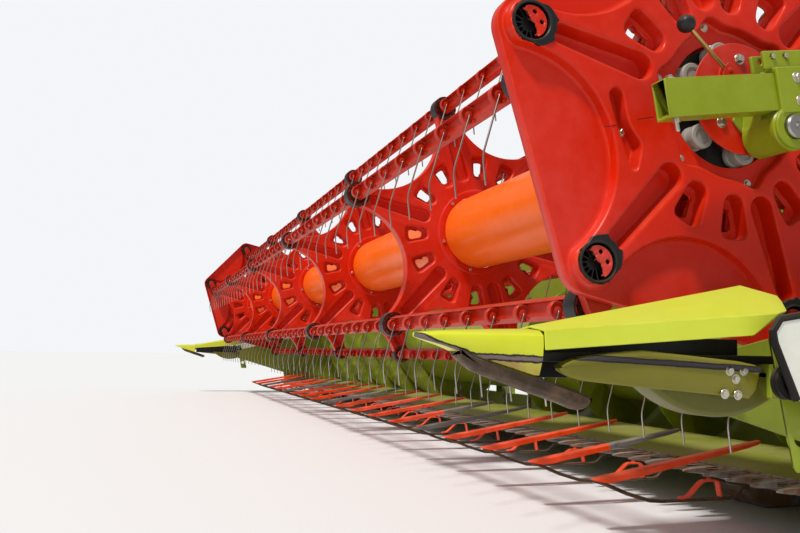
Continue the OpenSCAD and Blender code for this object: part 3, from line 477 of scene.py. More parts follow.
def loft(rings, caps=True, closed=True, looped=False):
    """Joins equal rings of points; a looped loft joins its last ring to its first."""
    count, last = len(rings[0]), (len(rings) - 1) * len(rings[0])
    points = [Vector(p) for ring in rings for p in ring]
    steps = count if closed else count - 1
    starts = range(0, last, count)
    faces = [(r + i, r + (i + 1) % count, r + count + (i + 1) % count, r + count + i)
             for r in starts for i in range(steps)]
    if looped:
        faces += [(last + i, last + (i + 1) % count, (i + 1) % count, i) for i in range(count)]
    elif caps:
        faces += [tuple(range(count))[::-1], tuple(range(last, last + count))]
    return points, faces


def turned(profile, at, direction=(1, 0, 0), count=24, turn=0.0, looped=False):
    """Circles round a line: profile pairs are (radius, distance along the line) in millimetres."""
    swing = Vector(direction).to_track_quat("Z", "Y")
    angles = [turn + 2 * math.pi * i / count for i in range(count)]
    return loft([[Vector(at) + swing @ Vector((r * MM * math.cos(a), r * MM * math.sin(a), d * MM)) for a in angles]
                 for r, d in profile], looped=looped)


def swept(path, radius, count, foot=1.0):
    """Tube along a path of points, with a frame that doesn't twist; foot scales its last ring."""
    rings = []
    aside = Vector((0, 1, 0)) if abs((path[1] - path[0]).normalized().x) > 0.9 else Vector((1, 0, 0))
    for i, p in enumerate(path):
        ahead = (path[min(i + 1, len(path) - 1)] - path[max(i - 1, 0)]).normalized()
        aside = (aside - ahead * aside.dot(ahead)).normalized()
        over = ahead.cross(aside)
        size = radius * foot if p is path[-1] else radius
        rings.append([p + (aside * math.cos(a) + over * math.sin(a)) * size
                      for a in [2 * math.pi * j / count for j in range(count)]])
    return loft(rings)


def joined(shapes):
    points, faces = [], []
    for more_points, more_faces in shapes:
        start = len(points)
        points += more_points
        faces += [tuple(start + i for i in face) for face in more_faces]
    return points, faces


def flipped(shape):
    return shape[0], [face[::-1] for face in shape[1]]


def on_side(shape, side):
    """A shape made for the left side, mirrored when it is for the right one."""
    return shape if side > 0 else flipped(([Vector((-p[0], p[1], p[2])) for p in shape[0]], shape[1]))


print("shape builders ready")

# %% Objects of the header
record_slots = {entry["slot"] for entry in frame["record"]["materials"]}
LIKE_SLOT = {"zinc": "knife_steel", "bar_red": "red_paint", "lifter_red": "red_paint", "shaded_table_lime": "lime_paint",
             "roller_grey": "grey_paint", "nose_lime": "lime_plastic", "deflector_green": "lime_plastic",
             "belly_olive": "lime_paint"}


def soften(made, width, corner=32.0):
    """Rounds every edge sharper than the given corner."""
    bevel = made.modifiers.new("soft edges", "BEVEL")
    bevel.width, bevel.segments, bevel.limit_method = width, 2, "ANGLE"
    bevel.angle_limit = math.radians(corner)
    bevel.use_clamp_overlap = False


def finished(made, body, look, slot, sharp):
    """Shading, finish and body, which every object gets in the same way; the slot argument is not used."""
    made.data.shade_smooth()
    made.data.set_sharp_from_angle(angle=math.radians(sharp))
    made.modifiers.new("even shading", "WEIGHTED_NORMAL").keep_sharp = True
    made.data.materials.append(finish[look])
    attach(made, body)
    return made


def piece(name, shape, body, look, replaces=(), sharp=34.0, thick=0.0, edge=0.0):
    """One object: its mesh, finish, body and the CAD nodes it stands for; a thick one is an open sheet."""
    mesh = bpy.data.meshes.new(name)
    mesh.from_pydata([tuple(p) for p in shape[0]], [], shape[1])
    if not thick:
        work = bmesh.new()
        work.from_mesh(mesh)
        bmesh.ops.recalc_face_normals(work, faces=work.faces)
        work.to_mesh(mesh)
        work.free()
    made = add(name, mesh)
    if thick:
        sheet = made.modifiers.new("sheet", "SOLIDIFY")
        sheet.thickness, sheet.offset, sheet.use_even_offset = thick, -1, False
    if edge:
        soften(made, edge)
    finished(made, body, look, look if look in record_slots else LIKE_SLOT[look], sharp)
    for node in replaces:
        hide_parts(node)
    return made


def softened(node, body, width, look=None):
    """The CAD solid itself with its flat faces joined again and its edges rounded."""
    work = bmesh.new()
    work.from_mesh(nodes[node].data)
    bmesh.ops.remove_doubles(work, verts=work.verts, dist=0.02 * MM)
    bmesh.ops.dissolve_limit(work, angle_limit=math.radians(0.8), verts=work.verts, edges=work.edges)
    made = add(node + "_soft", bpy.data.meshes.new(node + "_soft"))
    work.to_mesh(made.data)
    work.free()
    soften(made, width * MM)
    finished(made, body, look or slot_of[node], slot_of[node], 40)
    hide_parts(node)
    return made


print("object builders ready")

# %% Level lines in the plane
def arc(centre, radius, start, end, count):
    return [(centre[0] + radius * math.cos(start + (end - start) * i / count),
             centre[1] + radius * math.sin(start + (end - start) * i / count)) for i in range(count)]


def circle_line(centre, radius, count=48):
    return arc(centre, radius, 0, 2 * math.pi, count)


def spun(line, angle):
    c, s = math.cos(angle), math.sin(angle)
    return [(c * u - s * v, s * u + c * v) for u, v in line]


def slot_line(near, near_r, far, far_r, count=10):
    """Outline of two circles on the first axis, joined by straight sides."""
    lean = math.acos((near_r - far_r) / (far - near))
    return arc((far, 0), far_r, -lean, lean, count) + [(far + far_r * math.cos(lean), far_r * math.sin(lean))] \
        + arc((near, 0), near_r, lean, 2 * math.pi - lean, count) \
        + [(near + near_r * math.cos(lean), -near_r * math.sin(lean))]


def hexagon_line(radius, corner, count=10):
    line = []
    for k in range(6):
        line += spun(arc((radius, 0), corner, -math.pi / 6, math.pi / 6, count), k * math.pi / 3)
        line.append(spun([(radius + corner * math.cos(math.pi / 6), corner * 0.5)], k * math.pi / 3)[0])
    return line


def star_bite(radius, tip, reach):
    """Distance of the round scallops' centres from the star's middle."""
    half = tip - 5 * MM
    return (radius ** 2 - (half - reach) ** 2) / (2 * (radius * math.cos(math.pi / 6) + half - reach))


def star_line(radius, tip, reach, out=0.0, count=16):
    """Six-armed star: a tip circle on each arm, a round scallop between arms; out moves the line outwards."""
    far = star_bite(radius, tip, reach)
    scallop = Vector((far * math.cos(math.pi / 6), far * 0.5))
    tip_r, scallop_r = tip + out, far - reach - out
    to = scallop - Vector((radius, 0))
    along = (to.length ** 2 + tip_r ** 2 - scallop_r ** 2) / (2 * to.length)
    side = math.sqrt(tip_r ** 2 - along ** 2)
    ahead = to.normalized()
    meet = Vector((radius, 0)) + along * ahead + side * Vector((ahead.y, -ahead.x))
    wide = math.atan2(meet.y, meet.x - radius)
    start = (meet - scallop)
    first = math.atan2(start.y, start.x) % (2 * math.pi)
    last = 2 * (math.pi / 6 + math.pi) - first
    line = []
    for k in range(6):
        line += spun(arc((radius, 0), tip_r, -wide, wide, count // 2), k * math.pi / 3)
        line += spun(arc(scallop, scallop_r, first, last, count * 2), k * math.pi / 3)
    return line


print("level lines ready")

# %% Corners, insets and tests
def neighbours(line):
    """Each point of a closed line, between the one before it and the one after."""
    for i in range(len(line)):
        yield [Vector(line[(i + step) % len(line)]) for step in (-1, 0, 1)]


def eased(line, reach, count=4):
    """A closed line with its corners rounded; reach is how far each curve starts from its corner."""
    smooth = []
    for before, corner, after in neighbours(line):
        start = corner + (before - corner).normalized() * min(reach, 0.45 * (before - corner).length)
        end = corner + (after - corner).normalized() * min(reach, 0.45 * (after - corner).length)
        for j in range(count + 1):
            t = j / count
            smooth.append(tuple((1 - t) ** 2 * start + 2 * t * (1 - t) * corner + t ** 2 * end))
    return smooth


def inset(line, depth):
    """Moves a closed line inwards by the same depth all round."""
    turns_left = sum(a[0] * b[1] - b[0] * a[1] for a, b in zip(line, line[1:] + line[:1])) > 0
    sign, moved = (1 if turns_left else -1), []
    for before, corner, after in neighbours(line):
        one, two = corner - before, after - corner
        one = Vector((-one.y, one.x)).normalized() if one.length > 1e-7 else Vector((0, 0))
        two = Vector((-two.y, two.x)).normalized() if two.length > 1e-7 else one
        moved.append(tuple(corner + sign * depth * (one + two) / max(0.5, 1 + one.dot(two))))
    return moved


def holds(line, u, v):
    """Whether a point lies inside a closed line."""
    inside = False
    for (u1, v1), (u2, v2) in zip(line, line[1:] + line[:1]):
        if (v1 > v) != (v2 > v) and u < u1 + (v - v1) * (u2 - u1) / (v2 - v1):
            inside = not inside
    return inside


def within(u, v, circles):
    return any((u - cu) ** 2 + (v - cv) ** 2 < r * r for cu, cv, r in circles)


print("line tools ready")

# %% Reliefs, slabs and boxes
def relief(levels, kept, place):
    """Sheet from level lines: levels are (line, height) pairs, kept(u, v) says which triangles stay."""
    points, edges, heights = [], [], []
    for line, height in levels:
        start = len(points)
        points += [Vector(p) for p in line]
        edges += [(start + i, start + (i + 1) % len(line)) for i in range(len(line))]
        heights += [height] * len(line)
    flat, _, faces, origins = delaunay_2d_cdt(points, edges, [], 0, 1e-7)[:4]
    lifted = [heights[origin[0]] if origin else 0.0 for origin in origins]
    stay = [face for face in faces if kept(*(sum((flat[i] for i in face), Vector((0, 0))) / len(face)))]
    return [place(p.x, p.y, h) for p, h in zip(flat, lifted)], stay


def stepped(draw, profile):
    """The level lines of one form: draw(out) gives its line for each (out, height) of a profile."""
    return [(draw(out), height) for out, height in profile]


def punched(line, holes, place, rim=1.2 * MM):
    """Sheet with holes and softly turned rims; place(u, v, h) puts each point."""
    levels = [(line, -rim), (inset(line, rim), 0.0)]
    for hole in holes:
        levels += [(hole, -rim), (inset(hole, -rim), 0.0)]
    return relief(levels, lambda u, v: holds(line, u, v) and not any(holds(hole, u, v) for hole in holes), place)


def shoulder(top, bottom, soft=1.0):
    """Profile of a moulded wall, as (distance from the line, height) pairs, high side first."""
    drop = top - bottom
    return [(-4 * MM * soft, top), (-1.8 * MM * soft, top - min(0.7 * MM, 0.1 * drop)),
            (0.0, top - min(2.4 * MM, 0.3 * drop)), (1.2 * MM, top - min(5 * MM, 0.5 * drop)),
            (3.0 * MM, bottom + min(5 * MM, 0.35 * drop)), (4.2 * MM, bottom + min(2 * MM, 0.15 * drop)),
            (6.4 * MM * soft, bottom + min(0.5 * MM, 0.04 * drop)), (9 * MM * soft, bottom)]


def slab(line, low, high, edge=1.5):
    """Plate across the machine from a line in (y, z): it spans x from low to high, with rims round by edge mm."""
    edge *= MM
    rings = [(low, edge), (low + 0.3 * edge, 0.3 * edge), (low + edge, 0.0),
             (high - edge, 0.0), (high - 0.3 * edge, 0.3 * edge), (high, edge)]
    return loft([[Vector((x, y, z)) for y, z in inset(line, depth)] for x, depth in rings])


def box_shape(low, high, edge):
    """Cuboid with its rims rounded by edge millimetres, from one corner to the opposite one."""
    line = [(low[1], low[2]), (high[1], low[2]), (high[1], high[2]), (low[1], high[2])]
    return slab(eased(line, edge * MM, 2), low[0], high[0], edge)


def bolt(at, direction=(1, 0, 0), size=6, washer=True):
    """Hexagon head of the given half width in millimetres, with a domed top, on a washer."""
    head = [(0.3, 0.18), (1, 0.18), (1, 0.22), (1, 0.86), (0.86, 0.98), (0.1, 0.98)]
    parts = [turned([(r * size, d * size) for r, d in head], at, direction, 6, turn=random.uniform(0, 1))]
    if washer:
        plate = [(0.5, -0.05), (1.45, -0.05), (1.5, 0.1), (1.42, 0.2), (0.5, 0.2)]
        parts.append(turned([(r * size, d * size) for r, d in plate], at, direction, 18))
    return joined(parts)


print("reliefs ready")

# %% [markdown]
# ## The control plates
#
# At each end of the reel a red moulded plate turns about its own centre and keeps the tines upright.
# It is the largest thing in the picture: a hexagon of six arms, with a deep channel along each arm,
# two pockets with a hole in each sector, a sunk ring in the middle and a flat web out to a straight
# edge. One sector has a split with a bolt in a long pocket. All of it is one relief, with the same
# shares of the bar circle as the CAD solid.

# %% Shape of the control plate
PLATE_LIP = 24 * MM
PLATE_CORNER = 60 * MM
HOUSING_R = 40 * MM
RING_R = 125 * MM
RECESS_R, LOBE, LOBE_WIDE = RING_R + 29 * MM, 21 * MM, math.radians(9)
SHEET = 4.5 * MM
PLATE_CHANNEL, STAR_CHANNEL = (0.482, 27 * MM, 20 * MM), (0.46, 24 * MM, 18 * MM)  # start, near and far radius
CHANNEL_RIM = 62 * MM
POCKET_EASE, HOLE_EASE, LONG_EASE = 24 * MM, 12 * MM, 11 * MM
CHANNEL_FLOOR, POCKET_FLOOR, SPLIT_FLOOR = 7 * MM, 12 * MM, 16 * MM
POCKET_TURN = math.radians(12.4)
SCALLOP_IN = 0.633
SPLIT_SECTOR = 2
POCKET_SHAPE = mm((183, -21), (272, -35), (272, 35), (183, 21))
HOLE_SHAPE = mm((203, -11), (252, -17), (250, 17), (205, 10))
LONG_SHAPE = mm((252, -80), (272, -70), (272, -8), (268, 80), (256, 84), (229, 38), (243, 6), (246, -22),
                (240, -66))
SPLIT_BOLT = (246.5, 4)
PIN_CORNERS = [(BAR_R * math.cos(k * SECTOR), BAR_R * math.sin(k * SECTOR)) for k in range(6)]


def mid_of(sector):
    return sector * SECTOR + SECTOR / 2


def pocket_turns(skip=None):
    return [mid_of(k) + s * POCKET_TURN for k in range(6) if k != skip for s in (-1, 1)]


PLATE_POCKETS = pocket_turns(skip=SPLIT_SECTOR)


def grown(shape, reach, out=0.0):
    """A line with round corners, moved outwards by out."""
    line = eased(shape, reach, 5)
    return inset(line, -out) if out else line


def recess_line(out=0.0, count=144):
    """The sunk middle: a circle with a lobe at the foot of every arm, where the ring's bolts sit."""
    line = []
    for i in range(count):
        angle = 2 * math.pi * i / count
        off = (angle + SECTOR / 2) % SECTOR - SECTOR / 2
        reach = RECESS_R + LOBE * math.exp(-(off / LOBE_WIDE) ** 2) - out
        line.append((reach * math.cos(angle), reach * math.sin(angle)))
    return line


print("plate radius to the edge", round(BAR_R + PLATE_CORNER, 3))

# %% Level lines of the control plate
def arm_levels(channel_in, near_r, far_r, wall, pin_r, pin_count, pin_height):
    """A channel along each arm, and a circle round the pin at its end."""
    levels = []
    for k in range(6):
        near, far = channel_in * BAR_R, BAR_R - CHANNEL_RIM
        levels += stepped(lambda out: spun(slot_line(near, near_r - out, far, far_r - out), k * SECTOR), wall)
        levels.append((spun(circle_line((BAR_R, 0), pin_r, pin_count), k * SECTOR), pin_height))
    return levels


def pocket_levels(turns, wall, hole_steps, back=0.0):
    """A pocket and its hole at each of the given angles."""
    levels = []
    for turn in turns:
        levels += stepped(lambda out: spun(grown(POCKET_SHAPE, POCKET_EASE, -out - back), turn), wall)
        levels += stepped(lambda out: spun(grown(HOLE_SHAPE, HOLE_EASE, out), turn), hole_steps)
    return levels


def plate_levels():
    top, field, bite = PLATE_DEEP, PLATE_LIP, SCALLOP_IN * BAR_R
    lip = ((0, 0), (-0.3 * MM, field - 5 * MM), (-1 * MM, field - 2 * MM), (-2.2 * MM, field - 0.5 * MM),
           (-4 * MM, field))
    levels = stepped(lambda out: hexagon_line(BAR_R, PLATE_CORNER + out), lip)
    levels += stepped(lambda out: star_line(BAR_R, HOUSING_R + 5 * MM, bite, out), shoulder(top, field, 1.15))
    levels += arm_levels(*PLATE_CHANNEL, shoulder(top, CHANNEL_FLOOR, 1.6), HOUSING_R, 40, top)
    levels += pocket_levels(PLATE_POCKETS, shoulder(top, POCKET_FLOOR, 1.5), mm((2, 12), (0.6, 11), (0, 8)))
    levels += stepped(lambda out: spun(grown(LONG_SHAPE, LONG_EASE, -out), mid_of(SPLIT_SECTOR)),
                      shoulder(top, SPLIT_FLOOR, 0.8))
    levels += stepped(recess_line, shoulder(top, field, 1.2))
    levels += stepped(lambda out: circle_line((0, 0), RING_R + out, 96), (
        (3 * MM, field), (0.8 * MM, field - 0.8 * MM), (0, field - 3 * MM)))
    return levels


def in_hole(u, v, turns):
    return any(holds(HOLE, *spun([(u, v)], -turn)[0]) for turn in turns)


HOLE = grown(HOLE_SHAPE, HOLE_EASE)


def plate_keeps(u, v):
    reach, angle = math.hypot(u, v), math.atan2(v, u)
    housings = [(*corner, HOUSING_R) for corner in PIN_CORNERS]
    if reach < RING_R or within(u, v, housings) or in_hole(u, v, PLATE_POCKETS):
        return False
    edge_reach = reach * math.cos(angle % SECTOR - SECTOR / 2)
    return reach < BAR_R + PLATE_CORNER and edge_reach < BAR_R * math.cos(math.pi / 6) + PLATE_CORNER * 0.9999


def at_axis(axis, x, side=1):
    """Puts a point (u, v, h) of a plate or star that turns about an axis, at the reel's angle."""
    c, s = math.cos(PHASE), math.sin(PHASE)
    return lambda u, v, h: Vector((side * (x + h), axis.y + c * u - s * v, axis.z + s * u + c * v))


for name, side in SIDES.items():
    shape = relief(plate_levels(), plate_keeps, at_axis(PLATE, PLATE_X, side))
    plate = piece("plate_" + name, shape if side > 0 else flipped(shape), "control_plate_" + name, "red_plastic",
                  ["control_plate_" + name], thick=SHEET)
    print(plate.name, len(plate.data.polygons), "faces")

# %% [markdown]
# ## The reel stars
#
# Six moulded stars carry the tine bars along the tube. They speak the same language as the control
# plates: channelled arms, pockets in pairs, a raised rim along every edge. Here the star itself is
# the outline, and a clamping ring with bolts holds it to the tube. One mesh serves all six.

# %% Level lines of a reel star
STAR_TIP = 40 * MM
HUB_R = 147 * MM
TUBE_R = 125 * MM
BEARING_R = 31 * MM
STAR_TOP = STAR_RIM / 2
BITE_FAR = star_bite(BAR_R, STAR_TIP, SCALLOP_IN * BAR_R)


def star_levels():
    face, top, back = STAR_TOP - 4 * MM, STAR_TOP, -STAR_TOP
    rim = ((0, back), (-0.4 * MM, top - 3 * MM), (-1.5 * MM, top - 0.6 * MM), (-3.5 * MM, top),
           (-7 * MM, top - 0.5 * MM))
    levels = stepped(lambda out: star_line(BAR_R, STAR_TIP, SCALLOP_IN * BAR_R, out), rim)
    levels += arm_levels(*STAR_CHANNEL, shoulder(face, back + 8 * MM, 1.1), BEARING_R, 32, top - 0.4 * MM)
    levels += pocket_levels(pocket_turns(), shoulder(face, back + 10 * MM, 1.2),
                            ((2 * MM, back + 10 * MM), (0, back + 8 * MM)), 3 * MM)
    levels += stepped(lambda out: circle_line((0, 0), HUB_R + out, 72), (
        (9 * MM, face), (4 * MM, face + 0.4 * MM), (1.5 * MM, face + 2 * MM), (0, top - 1 * MM), (-2 * MM, top)))
    return levels + [(circle_line((0, 0), TUBE_R + 0.6 * MM, 72), top)]


def star_keeps(u, v):
    reach = math.hypot(u, v)
    scallops = [(*spun([(BITE_FAR, 0)], mid_of(k))[0], (BITE_FAR - SCALLOP_IN * BAR_R) * 0.9999) for k in range(6)]
    bearings = [(*corner, BEARING_R) for corner in PIN_CORNERS]
    if reach < TUBE_R + 0.5 * MM or within(u, v, bearings + scallops) or in_hole(u, v, pocket_turns()):
        return False
    spin = (math.atan2(v, u) + math.pi / 6) % SECTOR - math.pi / 6
    beyond = reach * math.cos(spin) - BAR_R
    return beyond < 0 or math.hypot(beyond, reach * math.sin(spin)) < STAR_TIP


star_shape = relief(star_levels(), star_keeps, at_axis(REEL, 0.0))
for k, x in enumerate(STAR_X):
    moved = ([p + Vector((x, 0, 0)) for p in star_shape[0]], star_shape[1])
    piece(f"star_{k + 1}", moved, "reel", "red_plastic", thick=SHEET)
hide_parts("reel_stars")

# %% [markdown]
# ## Black bearings with ribs
#
# Each tine bar turns in a nylon ring at every star, and its crank pin sits in a deep black housing in
# the control plate. Both are moulded with thin ribs between a hub and a rim, so they are made as a
# few turned rings and a loop of thin walls.

# %% Bearing rings in the stars
BUSH = [(22, -21), (25, -22), (25.6, 14), (26, 21), (30.4, 21), (30.9, 18), (30.9, -18), (28, -22)]
HOOP = [(31, -19), (40, -20), (41, -18.5), (41, 21), (40.2, 22.5), (38, 22.5), (37, 21), (36.4, 14), (31, 13)]


def ribs(at, inner, outer, depth, count, direction=(1, 0, 0), half=1.1 * MM):
    """Thin walls between two radii, standing along the given direction; sizes in millimetres."""
    swing = Vector(direction).to_track_quat("Z", "Y")
    walls = []
    for k in range(count):
        angle = 2 * math.pi * k / count
        out, across = Vector((math.cos(angle), math.sin(angle), 0)), Vector((-math.sin(angle), math.cos(angle), 0))
        walls.append(loft([[Vector(at) + swing @ (out * r * MM + across * t * half + Vector((0, 0, d * MM)))
                            for r, t in ((inner, -1), (outer, -1), (outer, 1), (inner, 1))] for d in depth]))
    return walls


def on_circle(centre, radius, angle, x):
    return Vector((x, centre.y + radius * math.cos(angle), centre.z + radius * math.sin(angle)))


rings = []
for x in STAR_X:
    for k in range(6):
        at = on_circle(REEL, BAR_R, PHASE + k * SECTOR, x)
        rings += [turned(BUSH, at, count=28), turned(HOOP, at, count=32, looped=True)]
        rings += ribs(at, 10, 26, (12, 19), 8) + ribs(at, 30, 37, (12, 20), 12)
piece("bearing_rings", joined(rings), "reel", "black_plastic", ["star_bearings"])
print("bearing rings", len(STAR_X) * 6)

# %% Bearing housings in the control plates
CUP = [(12.4, 1), (39, 1), (39.9, 3), (39.9, DEEP + 1), (39, DEEP + 3.5), (36.5, DEEP + 4.5), (34.5, DEEP + 3),
       (34, 8), (14, 8), (14, DEEP - 16), (12.4, DEEP - 16)]
SHELL = [(-2, 38), (24, 40), (33, 36), (51, 21), (48, 12), (51, 0), (48, -12), (51, -21), (33, -36), (24, -40),
         (-2, -38)]
SHELL_HOLE = [(35 * math.cos(math.radians(a)), 35 * math.sin(math.radians(a)))
              for a in (95, 70, 50, 30, 15, 0, -15, -30, -50, -70, -95)]
SHELL_STEPS = ((SHELL, -4, 1.0), (SHELL, 2.2, 1.0), (SHELL, 3.4, 0.97), (SHELL_HOLE, 3.4, 1.0),
               (SHELL_HOLE, -3.6, 1.0))
for name, side in SIDES.items():
    cups = []
    out = Vector((side, 0, 0))
    for k in range(6):
        turn = PHASE + k * SECTOR
        at = on_circle(PLATE, BAR_R, turn, side * PLATE_X)
        inward = Vector((0, -math.cos(turn), -math.sin(turn)))
        across = Vector((0, -math.sin(turn), math.cos(turn)))
        cups.append(turned(CUP, at, out, 36))
        cups += ribs(at, 13, 35, (7, DEEP - 12), 14, out)
        cups.append(loft([[at + (out * (DEEP + h) + inward * a * grow + across * b * grow) * MM for a, b in line]
                          for line, h, grow in SHELL_STEPS], caps=False, closed=False))
    piece("housings_" + name, joined(cups), "control_plate_" + name, "black_plastic", ["plate_bearings_" + name])
print("housings 12")

# %% [markdown]
# ## Tine bars
#
# Each bar is a folded channel with a coil housing for every tine. The housing is a round cup that
# shows its ring end-on, and the wire comes out beside it, leans forward and turns down at a knee.
# The crank at each end of a bar ends in a flat head with two tool holes.

# %% Channels, coil cups and cranks
TINES = 40
TINE_R, COIL_LOW = 2.6 * MM, 3.5 * MM
tines_lo, tines_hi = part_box("tines_1")
TINE_STEP = (tines_hi[0] - tines_lo[0] - 2 * TINE_R) / (TINES - 1)
COIL_X = [TINE_STEP * (k - (TINES - 1) / 2) for k in range(TINES)]
BACK = 16.6 * MM
CRANK_AT = PLATE - REEL
CRANK_X = STAR_X[0] + STAR_RIM / 2 + 8 * MM
STAR_CLEAR = 34 * MM
CHANNEL = mm((7, -22), (-4, -13.64), (-6.4, -12.1), (-7, -9.9), (-7, 14.52), (-6.4, 16.72), (-4, 18.48), (7, 22),
             (11, 18), (-2, 14.72), (-3, 13.2), (-3, -9.24), (-2, -9.66), (11, -18))
LIP_LINE = mm((-5, 17), (-18, 17), (-19.4, 17.6), (-19.6, 18.6), (-18.6, 19.6), (2, 27.6), (5, 27.6), (7, 21))
COIL_CUP = [(10, -15), (19.6, -15), (20, -13), (20, -1), (19, 0), (16.8, 0), (16, -1.2), (15.6, -4), (8.4, -4),
            (8, -2.2), (6, -1.2), (0.4, -1.2)]
SLEEVE = [(8, -24), (21, -24), (22, -23), (22, 10), (17, 11), (16, 23), (8, 24)]
HEAD_HOLES = mm((6, 19), (20, 1))
HEAD_R, HEAD_HOLE_R, HEAD_TOP = 31 * MM, 4.8 * MM, 8 * MM
HEAD_BITE = mm((-17.5, 24), (-16, 20), (-10, 19), (-8, 13), (-4, 10), (-4, 4), (1, 1), (7, -2), (8, -8),
               (11, -13), (11, -24))
reach = math.hypot(CRANK_AT.y, CRANK_AT.z)
crank_line = spun(slot_line(0, 25 * MM, reach, 20 * MM, 12), math.atan2(CRANK_AT.z, CRANK_AT.y))


def bar_shape(centre):
    shapes = [loft([[centre + Vector((x, y, z)) for y, z in CHANNEL] for x in (-CRANK_X, CRANK_X)])]
    shapes += [turned(COIL_CUP, centre + Vector((x, -BACK, -COIL_LOW))) for x in COIL_X]
    stops = [-CRANK_X] + [star + s * STAR_CLEAR for star in reversed(STAR_X) for s in (-1, 1)] + [CRANK_X]
    for x0, x1 in zip(stops[::2], stops[1::2]):
        if x1 - x0 > STAR_CLEAR:
            shapes.append(loft([[centre + Vector((x, y, z)) for y, z in LIP_LINE] for x in (x0, x1)]))
    shapes += [turned(SLEEVE, centre + Vector((x, 0, 0))) for x in STAR_X]
    middle = Vector((0, CRANK_AT.y / 2, CRANK_AT.z / 2))
    line = [Vector((0, y, z)) for y, z in crank_line]
    for side in SIDES.values():
        levels = [(side * (CRANK_X + t), grow) for t, grow in mm((0, -1.5), (1.5, 0), (20.5, 0), (22, -1.5))]
        shapes.append(loft([[centre + Vector((x, 0, 0)) + p + (p - middle).normalized() * grow for p in line]
                            for x, grow in levels]))
        at = centre + Vector((side * (CRANK_X + 20 * MM), CRANK_AT.y, CRANK_AT.z))
        shapes.append(turned([(12, 0), (12, DEEP - 22)], at, (side, 0, 0), 20))
    return joined(shapes)


def crank_head(centre, side):
    """Flat head of a crank pin: a round plate with a bite out of one side and two tool holes."""
    at = centre + Vector((side * (PLATE_X + PLATE_DEEP - HEAD_TOP), CRANK_AT.y, CRANK_AT.z))
    outline = arc((0, 0), HEAD_R, math.radians(-62), math.radians(120), 26) + eased(HEAD_BITE, 2.5 * MM, 3)
    levels = [(outline, 6.5 * MM), ([(u * 0.96, v * 0.96) for u, v in outline], HEAD_TOP)]
    levels += [(circle_line(hole, HEAD_HOLE_R, 16), HEAD_TOP) for hole in HEAD_HOLES]
    holes = [(*hole, HEAD_HOLE_R) for hole in HEAD_HOLES]
    return relief(levels, lambda u, v: holds(outline, u, v) and not within(u, v, holes),
                  lambda u, v, h: at + Vector((side * h, u, v)))


for k in BARS:
    centre, bar = pins[f"tine_bar_{k}"] * Vector((0, 1, 1)), f"tine_bar_{k}"
    piece(bar + "_dressed", bar_shape(centre), bar, "bar_red", [bar])
    for name, side in SIDES.items():
        shape = crank_head(centre, side)
        piece(f"crank_head_{k}_{name}", shape if side > 0 else flipped(shape), bar, "red_paint", thick=5 * MM)
print("tine bars", len(BARS), "with", TINES, "coil cups each")

# %% Tines: one bent wire, swept along a short curve
TINE_UPPER, TINE_LOWER, TINE_LEAN, TINE_BACK = 130 * MM, 60 * MM, 37 * MM, 7 * MM
WIRE_R = 2.2 * MM


def tine_path(root):
    knee = root + Vector((0, -TINE_LEAN, -TINE_UPPER))
    foot = knee + Vector((0, TINE_BACK, -TINE_LOWER))
    drop, rise = (foot - knee).normalized(), (root - knee).normalized()
    steps = [(root, rise, 0, -9, 0, -1), (root, rise, 0, -2, 0, -1), (root, rise, -5, 0, 0, 0),
             (knee, rise, 16, 0, 0, 0), (knee, rise, 8, 0, 0, -0.6), (knee, rise, 2.5, 0, 1, -2),
             (knee, drop, 8, 0, 0.3, 0), (knee, drop, 16, 0, 0, 0), (foot, drop, -2, 0, 0, 0),
             (foot, drop, 0, 0, 0, 0)]
    return [at + (way * along + Vector(aside)) * MM for at, way, along, *aside in steps]


for k in BARS:
    centre = pins[f"tine_bar_{k}"]
    wires = [swept(tine_path(Vector((x + TINE_R + 0.2 * MM, centre.y - BACK, centre.z - COIL_LOW))), WIRE_R, 7, 0.5)
             for x in COIL_X]
    piece(f"tines_{k}_dressed", joined(wires), f"tine_bar_{k}", "tine_steel", [f"tines_{k}"], sharp=60)
print("tines", len(BARS) * TINES)

# %% [markdown]
# ## The dividers
#
# A divider parts the crop at each end of the header. It has a pointed plastic nose over a worn steel
# runner, a ridged fairing behind it, and a long deflector below, bolted at its rear end. Straw has
# worn a wavy strip along the nose's outer face and under the deflector's lip, so those two carry
# their own finish. The deflector's finish is also a darker copy of the lime plastic all over: painted
# shade.

# %% Places of the dividers
EDGE_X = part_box("side_cover_left")[1][0]
DIVIDER_X = EDGE_X - 35 * MM
NOSE_X = DIVIDER_X - 47.5 * MM
nose_lo, nose_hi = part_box("divider_nose_left")
TIP_Y, NOSE_Y, TIP_Z = nose_lo[1], nose_hi[1], nose_hi[2] - 11 * MM
PEAK_ALONG = 594
PEAK_Y = TIP_Y + PEAK_ALONG * MM
TAIL_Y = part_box("divider_fairing_left")[1][1]


def spot(x, y, z, dx=0, dy=0, dz=0):
    """A point with its distances from three named planes in millimetres."""
    return Vector((x + dx * MM, y + dy * MM, z + dz * MM))


print("nose from", round(TIP_Y, 3), "to", round(NOSE_Y, 3), "fairing to", round(TAIL_Y, 3))

